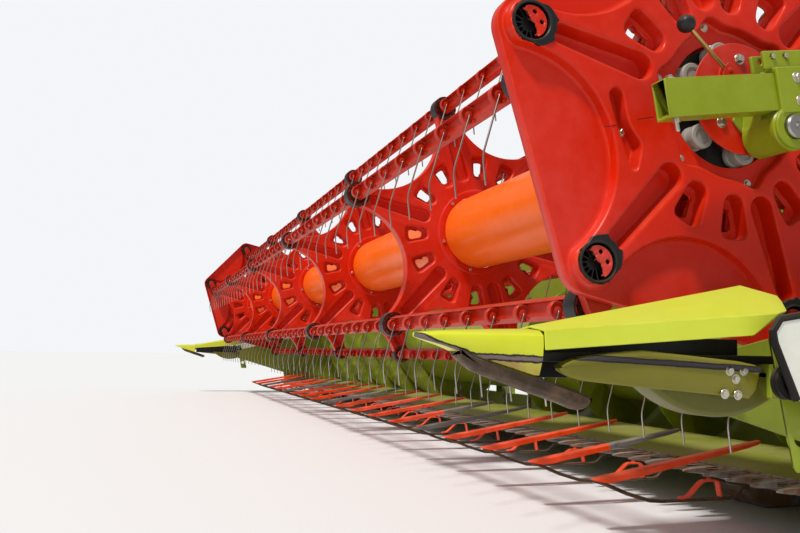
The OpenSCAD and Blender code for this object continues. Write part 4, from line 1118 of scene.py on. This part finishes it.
# %% A wavy worn strip, as a group
strip, given = open_group("worn strip", {
    "Level": 0.39, "Slope": 0.0, "Start": 0.0, "Bend": 0.0, "Bend Slope": 0.0, "Half": 0.005, "Wave": 0.01})
x, y, z = parts_of(strip, place(strip))
outward = parts_of(strip, put(strip, "ShaderNodeNewGeometry").outputs["Normal"])[0]
faces_out = mapped(outward * x.step("SIGN"), 0.1, 0.3)
line = given["Level"] + (y - given["Start"]) * given["Slope"] + (
    (given["Bend"] - y).step("MAXIMUM", 0.0) * given["Bend Slope"])
off = z + (noise(strip, 22.0, 4.0) - 0.5) * given["Wave"] - line
width = off.step("ABSOLUTE").step("DIVIDE", given["Half"])
close_group(strip, Dark=(1.0 - mapped(width, 0.85, 1.05)) * faces_out,
            Pale=(1.0 - mapped(width, 0.35, 0.6)) * faces_out, Below=mapped(off, 0.0, -0.002) * faces_out)

# %% The two finishes that carry the strip
STRIP_EDGE = (0.018, 0.013, 0.012, 1)


def striped(name, colour, low_colour, line, pale_colour=(0.20, 0.15, 0.14)):
    """Moulded plastic with a black-edged worn strip and another tone below it."""
    made, tree = blank_material(name)
    skin = use_group(tree, drift, Color=(*colour, 1), Scale=2.2, Amount=0.14)
    worn = {output.name: Wire(output) for output in put(tree, "ShaderNodeGroup", line, node_tree=strip).outputs}
    surface = mixed(worn["Below"] * mapped(noise(tree, 9.0, 5.0), 0.35, 0.6), skin, (*low_colour, 1))
    surface = mixed(worn["Pale"], mixed(worn["Dark"], surface, STRIP_EDGE), (*pale_colour, 1))
    surface, film = dusted(surface, 0.15, 5.0, 0.06)
    shaded(tree, {"Base Color": surface, "Normal": bumped(tree, 0.04), "Specular IOR Level": 0.3,
                  "Roughness": worn["Dark"] * 0.25 + 0.32})
    return made


finish["nose_lime"] = striped("lime nose", (0.70, 0.74, 0.040), (0.42, 0.26, 0.09), {
    "Level": 0.3920, "Slope": -0.03, "Start": -1.03, "Bend": -1.07, "Bend Slope": 0.36, "Half": 0.0055,
    "Wave": 0.016})
# The deflector's dark olive tones are painted shade on what is lime plastic, besides its worn strip.
finish["deflector_green"] = striped("shaded lime deflector", (0.21, 0.19, 0.012), (0.19, 0.17, 0.010), {
    "Level": 0.3940, "Slope": -0.046, "Start": -0.88, "Half": 0.0052, "Wave": 0.004}, pale_colour=(0.05, 0.04, 0.05))
print("striped finishes 2, finishes:", len(finish))

# %% Nose and runner
NOSE = [(1, 4.5, 2, 4), (18, 12, 4, 9), (40, 19, 6, 15), (60, 24, 7, 22), (95, 32, 8.5, 32), (135, 40, 10, 43),
        (168, 46, 11, 53), (180, 47.5, 11, 56), (180, 44, 8, 53), (150, 40, 6, 44)]
RUNNER = [(64, -22, -30), (90, -30, -50), (135, -44, -66), (180, -57, -81), (225, -71, -95), (252, -80, -105),
          (266, -85, -104), (270, -88, -98)]


def along_divider(stations, section):
    """Rings across the divider: section(values) gives (out, up) pairs in millimetres."""
    return loft([[spot(NOSE_X, TIP_Y, TIP_Z, u, along, v) for u, v in section(*sizes)] for along, *sizes in stations])


def nose_section(half, top, low):
    left = [(-0.9, -low), (-1, -low * 0.35), (-0.97, top * 0.1), (-0.74, top * 0.72)]
    right = [(0, top), (0.74, top * 0.7), (0.97, top * 0.1), (1, -low * 0.22), (0.93, -low * 0.6), (0.70, -low)]
    return [(half * u, v) for u, v in left + right]


def runner_section(top, low):
    return [(-22, top), (-22, low + 6), (-14, low), (4, low - 1), (16, low + 2), (22.5, low + 8), (22.5, top - 3),
            (17, top + 1)]


def on_both(name, shape, look, replaces=(), **settings):
    """A piece of the header itself at each end."""
    for end, side in SIDES.items():
        stands_for = [f"{node}_{end}" for node in replaces]
        piece(f"{name}_{end}", on_side(shape, side), "header", look, stands_for, **settings)


on_both("nose", along_divider(NOSE, nose_section), "nose_lime", ["divider_nose"], edge=1.6 * MM, sharp=50)
on_both("runner", along_divider(RUNNER, runner_section), "runner_steel", ["divider_runner"], edge=1 * MM, sharp=50)
print("noses and runners")

# %% Fairing: an open folded sheet whose tail is cut on the slant
start, peak, tail = 1 + (NOSE_Y - TIP_Y) / MM, PEAK_ALONG, (TAIL_Y - TIP_Y) / MM
cut = peak - 54
FAIRING = [
    [(-43.5, start, -20), (-43.5, start, 2), (-37, start, 7.5), (0, start, 12), (43, start, 6), (45.5, start, -20)],
    [(-47.5, cut, 9), (-47.5, peak, 76), (-37.5, peak, 92), (4, peak, 68), (47.5, peak - 4, 44), (47.5, cut, 9)],
    [(-47, cut + 4, 15), (-46, tail - 22, 62), (-35.5, tail - 1, 77), (-14, tail - 14, 66), (38, tail - 55, 47),
     (47, cut + 4, 15)],
]
fairing_shape = loft([[spot(NOSE_X, TIP_Y, TIP_Z, *p) for p in ring] for ring in FAIRING], caps=False, closed=False)
on_both("fairing", flipped(fairing_shape), "lime_plastic", ["divider_fairing"], thick=4 * MM, edge=1.3 * MM, sharp=50)
print("fairings")

# %% Deflector with its lip, and the bolts at its rear end
DEFLECTOR = [(30, -43, -48), (36, -38, -52), (48, -33, -58), (69, -28, -63), (110, -22, -67), (164, -17, -72),
             (250, -24, -79), (335, -31, -86.5), (366, -36, -89), (376, -40, -80), (380, -44, -62)]
BOLTS_AT = ((-0.6455, 0.3779), (-0.6191, 0.3782), (-0.6346, 0.3658), (-0.6559, 0.3430), (-0.6317, 0.3414))


def deflector_ring(along, top, low):
    k = min(1.0, (top - low) / 40)
    shape = [(-30, top - 5 * k), (-29, top), (-4, top), (-2, top - 4 * k), (-4, top - 8 * k), (-10, top - 11 * k),
             (-10, (top + low) / 2), (-13, low + 6 * k), (-18, low), (-23, low + 2 * k), (-25.3, low + 8 * k),
             (-25.3, top - 8 * k)]
    return [spot(DIVIDER_X, NOSE_Y, TIP_Z, u, along, v) for u, v in shape]


bolts_shape = joined([bolt((DIVIDER_X - 10.5 * MM, y, z), size=5.2) for y, z in BOLTS_AT])
on_both("deflector", loft([deflector_ring(*station) for station in DEFLECTOR]), "deflector_green", ["deflector"],
        edge=1.2 * MM, sharp=60)
on_both("deflector_bolts", bolts_shape, "zinc")
print("deflectors with", len(BOLTS_AT), "bolts")

# %% Bracket: post with a hole, bars, a black sheet as painted shade under the fairing, and a round belly whose dark olive is painted shade
WALL_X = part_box("side_wall_left")[0][0] + 4 * MM
POST_X = DIVIDER_X - 18 * MM
BRACKET_BOLTS = ((8, -58), (25, -66), (55, -185))


def by_peak(*pairs):
    """Pairs (y, z) in millimetres from the fairing's peak and the nose's tip."""
    return [(PEAK_Y + y * MM, TIP_Z + z * MM) for y, z in pairs]


post_line = eased(by_peak((-16, 12), (16, 12), (78, -203), (26, -203)), 9 * MM)
post_hole = circle_line(by_peak((40, -150))[0], 13 * MM, 28)
post_shape = punched(post_line[::-1], [post_hole], lambda u, v, h: Vector((POST_X + 12 * MM + h, u, v)))
belly_line = arc(by_peak((-94, 81))[0], 199 * MM, math.radians(-140.8), math.radians(-39.2), 44)
belly_shape = slab(belly_line, NOSE_X - 36 * MM, DIVIDER_X - 26 * MM, 9)
bars = [box_shape(spot(WALL_X, PEAK_Y, TIP_Z, 0, -6, -89), spot(POST_X, PEAK_Y, TIP_Z, 1, 36, -35), 3)]
bars += [bolt((POST_X + 12 * MM, *at), size=7) for at in by_peak(*BRACKET_BOLTS)]
# Black sheets between the fairing and the deflector: painted shade for the dark hollow under the fairing.
shade_sheet = [box_shape(spot(NOSE_X, NOSE_Y, TIP_Z, -14, 0, -36), spot(NOSE_X, PEAK_Y, TIP_Z, 10, 36, -22), 2),
         box_shape(spot(NOSE_X, NOSE_Y, TIP_Z, -26, 12, -60), spot(NOSE_X, PEAK_Y, TIP_Z, -22, -22, 4), 1)]
on_both("post", post_shape, "lime_paint", ["divider_bracket"], thick=11 * MM, sharp=50)
# The belly's dark olive finish is painted shade.
on_both("belly", belly_shape, "belly_olive", sharp=50)
on_both("bracket_bars", joined(bars), "lime_paint", edge=0.6 * MM)
on_both("shade_sheet", joined(shade_sheet), "black_plastic")
print("brackets")

# %% Knife drive: a belt loop on two pulleys, beside the left divider
FRONT_R, REAR_R = 22, 46
belt_x = DIVIDER_X + 1 * MM
front_at, rear_at = Vector(by_peak((2, -62))[0]), Vector((0.300, 0.370))
reach = rear_at - front_at


def belt_line(grow):
    line = slot_line(0, (FRONT_R + grow) * MM, reach.length, (REAR_R + grow) * MM, 22)
    return [(front_at.x + u, front_at.y + v) for u, v in spun(line, math.atan2(reach.y, reach.x))]


drive = []
for low in (1, 10):
    band = [(5, low), (5, low + 7), (0, low + 7), (0, low), (5, low)]
    drive.append(loft([[Vector((belt_x + x * MM, y, z)) for y, z in belt_line(grow)] for grow, x in band],
                      caps=False))
for at, r in ((front_at, FRONT_R), (rear_at, REAR_R)):
    pulley = [(7, -1), (r + 3, 0), (r + 3, 0.8), (r, 1.2), (r, 8.2), (r + 3, 8.8), (r + 3, 9.4), (r, 10), (r, 17),
              (r + 3, 17.6), (r + 3, 19), (r - 4, 19), (r - 6, 12), (11, 12), (10, 20), (4, 21)]
    drive.append(turned(pulley, (belt_x, *at), count=36))
drive.append(turned([(9, -13), (9, 1)], (belt_x, *front_at), count=16))
drive.append(turned([(14, (WALL_X - belt_x) / MM), (14, 1)], (belt_x, *rear_at), count=20))
piece("knife_drive_dressed", joined(drive), "header", "belt_rubber", ["knife_drive"])
print("belt drive")

# %% Side covers, with a black strip along their front edge as painted shade for the gap there
COVER_FRONT = [(PEAK_Y, -44), (PEAK_Y - 42 * MM, 50), (PEAK_Y - 40 * MM, 68), (PEAK_Y - 26 * MM, 78),
               (REEL.y + 10 * MM, 112)]
for name, side in SIDES.items():
    softened("side_cover_" + name, "side_cover_" + name, 2)
    a, b, c, d, e = [Vector((side * (EDGE_X - 3 * MM), y - 4 * MM, TIP_Z + (z - 44) * MM)) for y, z in COVER_FRONT]
    path = [a, a.lerp(b, 0.9), b.lerp(c, 0.5), d, d.lerp(e, 0.3), e]
    # The black strip along the cover's front edge is painted shade for the gap beside it.
    piece("cover_shade_strip_" + name, swept(path, 6 * MM, 8), "side_cover_" + name, "belt_rubber")
    softened("cover_stays_" + name, "header", 2)
print("side covers")

# %% [markdown]
# ## Arms, carriages and the middle of the control plates
#
# Each arm is an open tube with folded walls. A carriage slides on it and holds the reel's shaft, and
# the eccentric disc beside it carries grey rollers that the control plate runs on. The left disc has
# the ball-ended lever that sets the tines' angle.

# %% Eccentric discs, rollers and ring bolts
DISC_X = PLATE_X + PLATE_DEEP + 6 * MM
DISC_FACE_X = DISC_X + 12 * MM
SHAFT_AT = (REEL.y - PLATE.y, REEL.z - PLATE.z)
ROLLERS_AT, ROLLER_PINS_R, RING_BOLTS_R = RING_R - 25.4 * MM, 85 * MM, 161 * MM
ROLLER_ANGLES = [math.radians(a) for a in (102, 152, -134, -73, 20)]
ROLLER = [(7, 4), (22, 4), (24.6, 6), (24.6, 13), (21, 15.5), (21, 27), (24.6, 29.5), (24.6, 39), (23, 41), (16, 41),
          (15, 38.5), (7, 38.5)]
DISC_BOLTS = [(82, 88.7), (84, -62.4), (66, -132), (80, 160)]


def ring_with_hole(centre, radius, hole_r, x):
    """A disc round the plate's axis, with a hole for the reel's shaft."""
    return punched(circle_line(centre, radius, 64), [circle_line(SHAFT_AT, hole_r, 32)],
                   lambda u, v, h: Vector((x + h, PLATE.y + u, PLATE.z + v)))


def in_split(a, b):
    """A point (y, z) of the split pocket, in millimetres from the plate's axis along the sector's middle."""
    u, v = spun([(a * MM, b * MM)], PHASE + mid_of(SPLIT_SECTOR))[0]
    return PLATE.y + u, PLATE.z + v


disc = ring_with_hole((3 * MM, 3 * MM), 111 * MM, 27 * MM, DISC_FACE_X)
shield = ring_with_hole((0, 0), 121 * MM, 30 * MM, PLATE_X + 2.5 * MM)
seams = []
for near, far in ((190, 227), (274, 302)):
    line = [in_split(a, b) for a, b in ((near, -8.2), (far, -10.2), (far, -8.8), (near, -6.8))]
    seams.append(slab(line, PLATE_X + PLATE_DEEP - 1 * MM, PLATE_X + PLATE_DEEP + 0.25 * MM, 0.1))
for name, side in SIDES.items():
    out, carriage, plate = (side, 0, 0), "carriage_" + name, "control_plate_" + name
    inner_x, lip_x = side * PLATE_X, side * (PLATE_X + PLATE_LIP)
    rollers = [turned(ROLLER, on_circle(PLATE, ROLLERS_AT, a, inner_x), out, 30) for a in ROLLER_ANGLES]
    pins_and_bolts = [turned([(7, 3), (7, DEEP + 12)], on_circle(PLATE, ROLLER_PINS_R, a, inner_x), out, 14)
                      for a in ROLLER_ANGLES]
    pins_and_bolts += [bolt(on_circle(PLATE, radius * MM, math.radians(angle), side * DISC_FACE_X), out, 7.5)
                       for radius, angle in DISC_BOLTS]
    ring_bolts = [bolt(on_circle(PLATE, RING_BOLTS_R, PHASE + k * SECTOR, lip_x), out) for k in range(6)]
    ring_bolts.append(bolt((side * (PLATE_X + 16 * MM), *in_split(*SPLIT_BOLT)), out))
    piece("eccentric_disc_" + name, on_side(disc, side), carriage, "red_paint", ["eccentric_" + name], thick=10 * MM)
    piece("dust_shield_" + name, on_side(shield, side), carriage, "black_plastic", thick=2 * MM)
    piece("rollers_" + name, joined(rollers), carriage, "roller_grey")
    piece("disc_bolts_" + name, joined(pins_and_bolts), carriage, "zinc")
    piece("ring_bolts_" + name, joined(ring_bolts), plate, "zinc")
    piece("seam_" + name, on_side(joined(seams), side), plate, "black_plastic")
print("rollers", len(ROLLER_ANGLES), "a side")

# %% Arms and carriages, with rounded edges, bolts and shaft ends
arm_lo, arm_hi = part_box("arm_left")
ARM_X = (arm_lo[0] + arm_hi[0]) / 2
SLOPE = math.radians(9.5)
RAM_UP, RAM_FROM, RAM_R, RAM_THINNED = 67, 20 * MM, 10.6 * MM, 0.07
FOOT_NUT = [(7.5, 0), (8, 1), (8, 7), (7, 8)]
FOOT_STUD = [(4, 0), (4, 22), (2.6, 24)]
COLLAR = [(38, 84), (41, 85), (42.5, 88), (42.5, 96), (40, 99), (31, 99.5), (29, 97), (26, 92)]
ALONG, UPWARD = Vector((0, math.cos(SLOPE), math.sin(SLOPE))), Vector((0, -math.sin(SLOPE), math.cos(SLOPE)))


def on_arm(side, x, along, over):
    """A point by its distance in millimetres along the arm from over the reel axis."""
    c, s = math.cos(SLOPE), math.sin(SLOPE)
    return spot(side * (ARM_X + x * MM), REEL.y, REEL.z, 0, along * c - over * s, 70 + along * s + over * c)


folds = []
for top in (28.6, -28.6):
    ends = ((-272, top - 1.2), (-170, top - 1.2), (-170, top + 1.2), (-272, top + 1.2))
    line = [on_arm(1, 0, a, b)[1:] for a, b in ends]
    folds.append(slab(line, ARM_X - 16 * MM, ARM_X + 16 * MM, 0.8))
for name, side in SIDES.items():
    out, arm, body = (side, 0, 0), "arm_" + name, "carriage_" + name
    softened(arm, arm, 2.4)
    piece("arm_folds_" + name, on_side(joined(folds), side), arm, "lime_paint")
    foot = on_arm(side, 8, -255, -35)
    bolts = [turned(FOOT_STUD, foot, -UPWARD, 12), turned(FOOT_NUT, foot, -UPWARD, 6),
             bolt(on_arm(side, 8, -255, 35), UPWARD, 7)]
    piece("arm_bolt_" + name, joined(bolts), arm, "zinc")
    for v in softened(body, body, 2.4).data.vertices:  # the ram's rod, thinned to slide clear in its barrel
        off = v.co - on_arm(side, 0, 0, RAM_UP)
        reach = off.dot(ALONG)
        off -= ALONG * reach
        if reach > RAM_FROM and off.length < RAM_R:
            v.co -= off * RAM_THINNED
    piece("collar_" + name, turned(COLLAR, (side * (PLATE_X + 56 * MM), REEL.y, REEL.z), out, 40), body, "lime_paint")
    heads = [bolt(on_arm(side, 27.5, a, b), out, 7) for a, b in ((10, 22), (10, -22), (195, 22), (195, -22))]
    heads += [bolt(on_arm(side, 19, a, 65.5), out, 4.8, washer=False) for a in (-30, 0)]
    piece("carriage_bolts_" + name, joined(heads), body, "zinc")
print("arms and carriages")

# %% The reel's tube and shafts
far = (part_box("reel_shafts")[1][0] - STARS_END) / MM
SHAFT = [(21, 0), (22, 1), (22, far - 3), (19, far), (7, far), (6, far - 3), (0.5, far - 6)]
shafts = [turned(SHAFT, (side * STARS_END, REEL.y, REEL.z), (side, 0, 0), 36) for side in SIDES.values()]
piece("shafts_dressed", joined(shafts), "reel", "tine_steel", ["reel_shafts"])
HUB_BOLTS_R = 136.5 * MM
TUBE_END = [(40, 12), (118, 0), (124, 0.5), (125, 2)]
tube = TUBE_END + [(r, 2 * STARS_END / MM - d) for r, d in TUBE_END[::-1]]
piece("tube_dressed", turned(tube, (-STARS_END, REEL.y, REEL.z), count=96), "reel", "orange_paint", ["reel_tube"])
clamps = [bolt(on_circle(REEL, HUB_BOLTS_R, PHASE + (k + 0.5) * SECTOR, x + STAR_RIM / 2 - 1 * MM), washer=False)
          for x in STAR_X for k in range(6)]
piece("hub_bolts", joined(clamps), "reel", "zinc")
print("tube, shafts and", len(clamps), "hub bolts")

# %% Ball-ended lever
LEVER_EAR = [(-18, -15), (18, -15), (12, 10), (0, 17), (-12, 8)]
BALL_R = 17
foot = spot(DISC_FACE_X, REEL.y, REEL.z, 0, -70, 125)
ball = spot(*foot, 50, -126, 60)
knob = [(BALL_R * math.sin(math.pi * i / 14), -BALL_R * math.cos(math.pi * i / 14)) for i in range(1, 14)]
piece("lever_ball", turned(knob, ball, (ball - foot).normalized(), 28), "carriage_left", "black_plastic", sharp=60)
rod = [spot(*foot, 8), spot(*foot.lerp(ball, 0.5), 4), ball]
piece("lever_rod", swept(rod, 4.3 * MM, 14), "carriage_left", "lever_brass", ["depth_lever"])
ear_line = eased([(foot.y + y * MM, foot.z + z * MM) for y, z in LEVER_EAR], 5 * MM)
ears = [slab(ear_line, foot.x + low * MM, foot.x + (low + 4) * MM, 0.8) for low in (0, 12)]
ears.append(turned([(5, 0), (5, 17), (3, 18)], foot, count=12))
piece("lever_bracket", joined(ears), "carriage_left", "red_paint")
print("lever")

# %% Lift cylinders: a barrel with gland and hose port, and a rod with its fork
for name, side in SIDES.items():
    softened("lift_barrel_" + name, "lift_barrel_" + name, 1.2)
    softened("lift_rod_" + name, "lift_rod_" + name, 0.8)
print("lift cylinders")

# %% [markdown]
# ## Knife, guards and crop lifters
#
# Eighty-four cast fingers guard the knife. Every fourth one carries a crop lifter: a folded blade
# that rises to the rear, a thin brown spring runner under it, and a red clip that holds it on the
# finger. Most blades are red, a few are grey spares, and two are worn to grey at the rear.

# %% Guard fingers, their bar and bolts
guards_lo, guards_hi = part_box("knife_guards")
KNIFE_Y, KNIFE_Z = guards_lo[1] + 130 * MM, guards_hi[2] + 1 * MM
GUARD_STEP = 76.2 * MM
GUARDS = round((guards_hi[0] - guards_lo[0]) / GUARD_STEP)
FINGER = ((-130, -12, -8.5, 2), (-120, -14, -6, 4.5), (-100, -16, -3, 8), (-66, -18, -1.5, 9), (-63, -18, -12, 9),
          (-30, -20, -12, 9.5), (30, -24, -12, 9.5), (34, -24, -16, 8))
LIP = ((-72, -6, -1.8, 8.5), (-50, -5.6, -1.2, 8), (-32, -5.5, -1, 6.5), (-29, -5, -1.8, 5))


def guard_x(j):
    return GUARD_STEP * (j + 0.5 - GUARDS / 2)


def by_knife(x, dx, dy, dz):
    """A point by its distances in millimetres from x and the knife's line."""
    return spot(x, KNIFE_Y, KNIFE_Z, dx, dy, dz)


def finger_part(stations, x):
    """Rings along the machine: (along, low, high, half width), with the top narrower than the bottom."""
    rings = []
    for along, low, high, half in stations:
        right_half = [(half * 0.6, low), (half, low + 2), (half, high - 1.2), (half * 0.7, high)]
        shape = [(-half, low + 2), (-half * 0.6, low)] + right_half + [(-half * 0.7, high), (-half, high - 1.2)]
        rings.append([by_knife(x, u, along, v) for u, v in shape])
    return loft(rings)


fingers = [finger_part(stations, guard_x(j)) for j in range(GUARDS) for stations in (FINGER, LIP)]
fingers.append(box_shape(by_knife(guards_lo[0], 0, -10, -34), by_knife(guards_hi[0], 0, 50, -24), 1.5))
finger_bolts = [bolt(by_knife(guard_x(j), aside, 40, -23.8), (0, 0, 1), 5.5, washer=False)
                for j in range(GUARDS) for aside in (-14, 14)]
piece("guard_fingers", joined(fingers), "header", "knife_steel", ["knife_guards"], sharp=50)
piece("guard_bolts", joined(finger_bolts), "header", "zinc")
print("guards", GUARDS)

# %% Knife sections on their bar
WIDE = GUARD_STEP * 0.46 / MM
LOW_LINE = [(-WIDE, 1), (WIDE, 1), (WIDE * 0.98, -4), (8, -60), (-8, -60), (-WIDE * 0.98, -4)]
TOP_LINE = [(-WIDE, 1), (WIDE, 1), (WIDE * 0.86, -6), (6, -54), (-6, -54), (-WIDE * 0.86, -6)]
RIVET = [(5, 0), (4.6, 1.6), (2, 2.4)]
knife_lo, knife_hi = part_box("knife_sections")
sections = []
for j in range(GUARDS - 1):
    x = guard_x(j) + GUARD_STEP / 2
    sections.append(loft([[by_knife(x, u, 4 + v, h) for u, v in line]
                          for line, h in ((LOW_LINE, -11.7), (LOW_LINE, -10.9), (TOP_LINE, -8.4))]))
    sections += [turned(RIVET, by_knife(x, aside, 15, -5.7), (0, 0, 1), 8) for aside in (-18, 18)]
sections.append(box_shape(by_knife(knife_lo[0], 0, 4, -11.7), by_knife(knife_hi[0], 0, 26, -5.7), 1))
piece("knife_dressed", joined(sections), "knife", "knife_steel", ["knife_sections"], sharp=40)
print("knife sections", GUARDS - 1)

# %% Crop lifters
LIFTERS = 19
GREY, GREY_REAR = (2, 5, 9, 14), (13, 17)
LIFTER_LEN = 475
RISE = math.radians(10)
TIP = (KNIFE_Y - 432 * MM, KNIFE_Z - 14 * MM)
BLADE = ((0, 7, 1.5), (9, 11, 5), (34, 15, 14), (120, 14.5, 15), (240, 13, 13), (300, 12.3, 12), (430, 10.5, 9.5),
         (462, 9.5, 7), (474, 6, 3.5))
ROD = [(8, 1), (30, -6), (90, -30), (150, -48), (185, -51), (300, -51), (376, -51), (394, -47), (412, -30),
       (430, -26), (456, -26)]
CLIP = [(232, -46), (252, -44), (262, -38), (290, -13), (300, -8), (333, -8), (341, -13), (347, -46)]


def blade(x, stations):
    """Folded blade: stations are (along, half width, flange) in millimetres."""
    rings = []
    for along, half, flange in stations:
        lift, inner, roof = 4.5 * (1 - along / LIFTER_LEN), half - 2.4, min(3.0, flange * 0.6)
        shape = [(-half, -flange), (-half, -1.5), (-half * 0.8, 0.8), (half * 0.8, 0.8), (half, -1.5),
                 (half, -flange), (inner, -flange), (inner, -roof), (-inner, -roof), (-inner, -flange)]
        rings.append([spot(x, *TIP, u, along * math.cos(RISE) - (v + lift) * math.sin(RISE),
                           along * math.sin(RISE) + (v + lift) * math.cos(RISE)) for u, v in shape])
    return loft(rings)


def strap(path, x, width, thick):
    """Flat strip bent along a line in (y, z), standing across x."""
    points = [Vector(p) for p in path]
    left, right = [], []
    for i, p in enumerate(points):
        ahead = (points[min(i + 1, len(points) - 1)] - points[max(i - 1, 0)]).normalized()
        side = Vector((-ahead.y, ahead.x)) * thick / 2
        left.append(tuple(p + side))
        right.append(tuple(p - side))
    return slab(left + right[::-1], x - width / 2, x + width / 2, 0.6)


reds, greys, rods, clips = [], [], [], []
for i in range(LIFTERS):
    x = guard_x(2 + (i + 1) * 4)
    (greys if i in GREY else reds).append(blade(x, BLADE[:5]))
    (greys if i in GREY + GREY_REAR else reds).append(blade(x, BLADE[4:]))
    rods.append(swept([spot(x, *TIP, 0, u, v) for u, v in ROD], 4.4 * MM, 8))
    clips.append(strap([spot(x, *TIP, 0, u, v)[1:] for u, v in CLIP], x, 16 * MM, 4.5 * MM))
    clips.append(bolt(spot(x, *TIP, 0, 317, -5.8), (0, 0, 1), 5))
piece("lifter_blades_red", joined(reds), "header", "lifter_red", ["lifters_red"], sharp=40)
piece("lifter_blades_grey", joined(greys), "header", "grey_paint", ["lifters_grey"], sharp=40)
piece("lifter_rods", joined(rods), "header", "runner_steel", sharp=60)
piece("lifter_clips", joined(clips), "header", "lifter_red", sharp=45)
print("lifters", LIFTERS, "grey", len(GREY))

# %% [markdown]
# ## Table, auger, frame and skids
#
# The welded parts keep their CAD shape, with flat faces joined again and every edge rounded like
# folded sheet or rolled tube. Rows of bolts follow the seams where such a table is screwed together.

# %% Frame and sheets
TABLE = {"back_frame": 5, "back_panel": 0.8, "table_trough": 0.8, "side_wall_left": 1, "side_wall_right": 1,
         "skid_shoes": 4, "auger_tube": 1.5, "auger_fingers": 1}
AS_RECORDED = ("back_frame", "skid_shoes", "auger_fingers")
for node, width in TABLE.items():
    body = "auger" if node.startswith("auger") else "header"
    # Sheets and auger tube take the darker table paint, which is painted shade.
    softened(node, body, width, slot_of[node] if node in AS_RECORDED else "shaded_table_lime")
coat("auger_flights", "shaded_table_lime")
wall_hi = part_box("side_wall_left")[1]
seam_bolts = []
for side in SIDES.values():
    rows = [(KNIFE_Y + (120 + 110 * i) * MM, 0.10) for i in range(7)]
    rows += [(wall_hi[1] - 30 * MM, z) for z in (0.30, 0.45, 0.60, 0.75, 0.90)]
    seam_bolts += [bolt((side * (wall_hi[0] - 8 * MM), y, z), (side, 0, 0), 7) for y, z in rows]
piece("seam_bolts", joined(seam_bolts), "header", "zinc")
print("softened", len(TABLE), "welded parts")
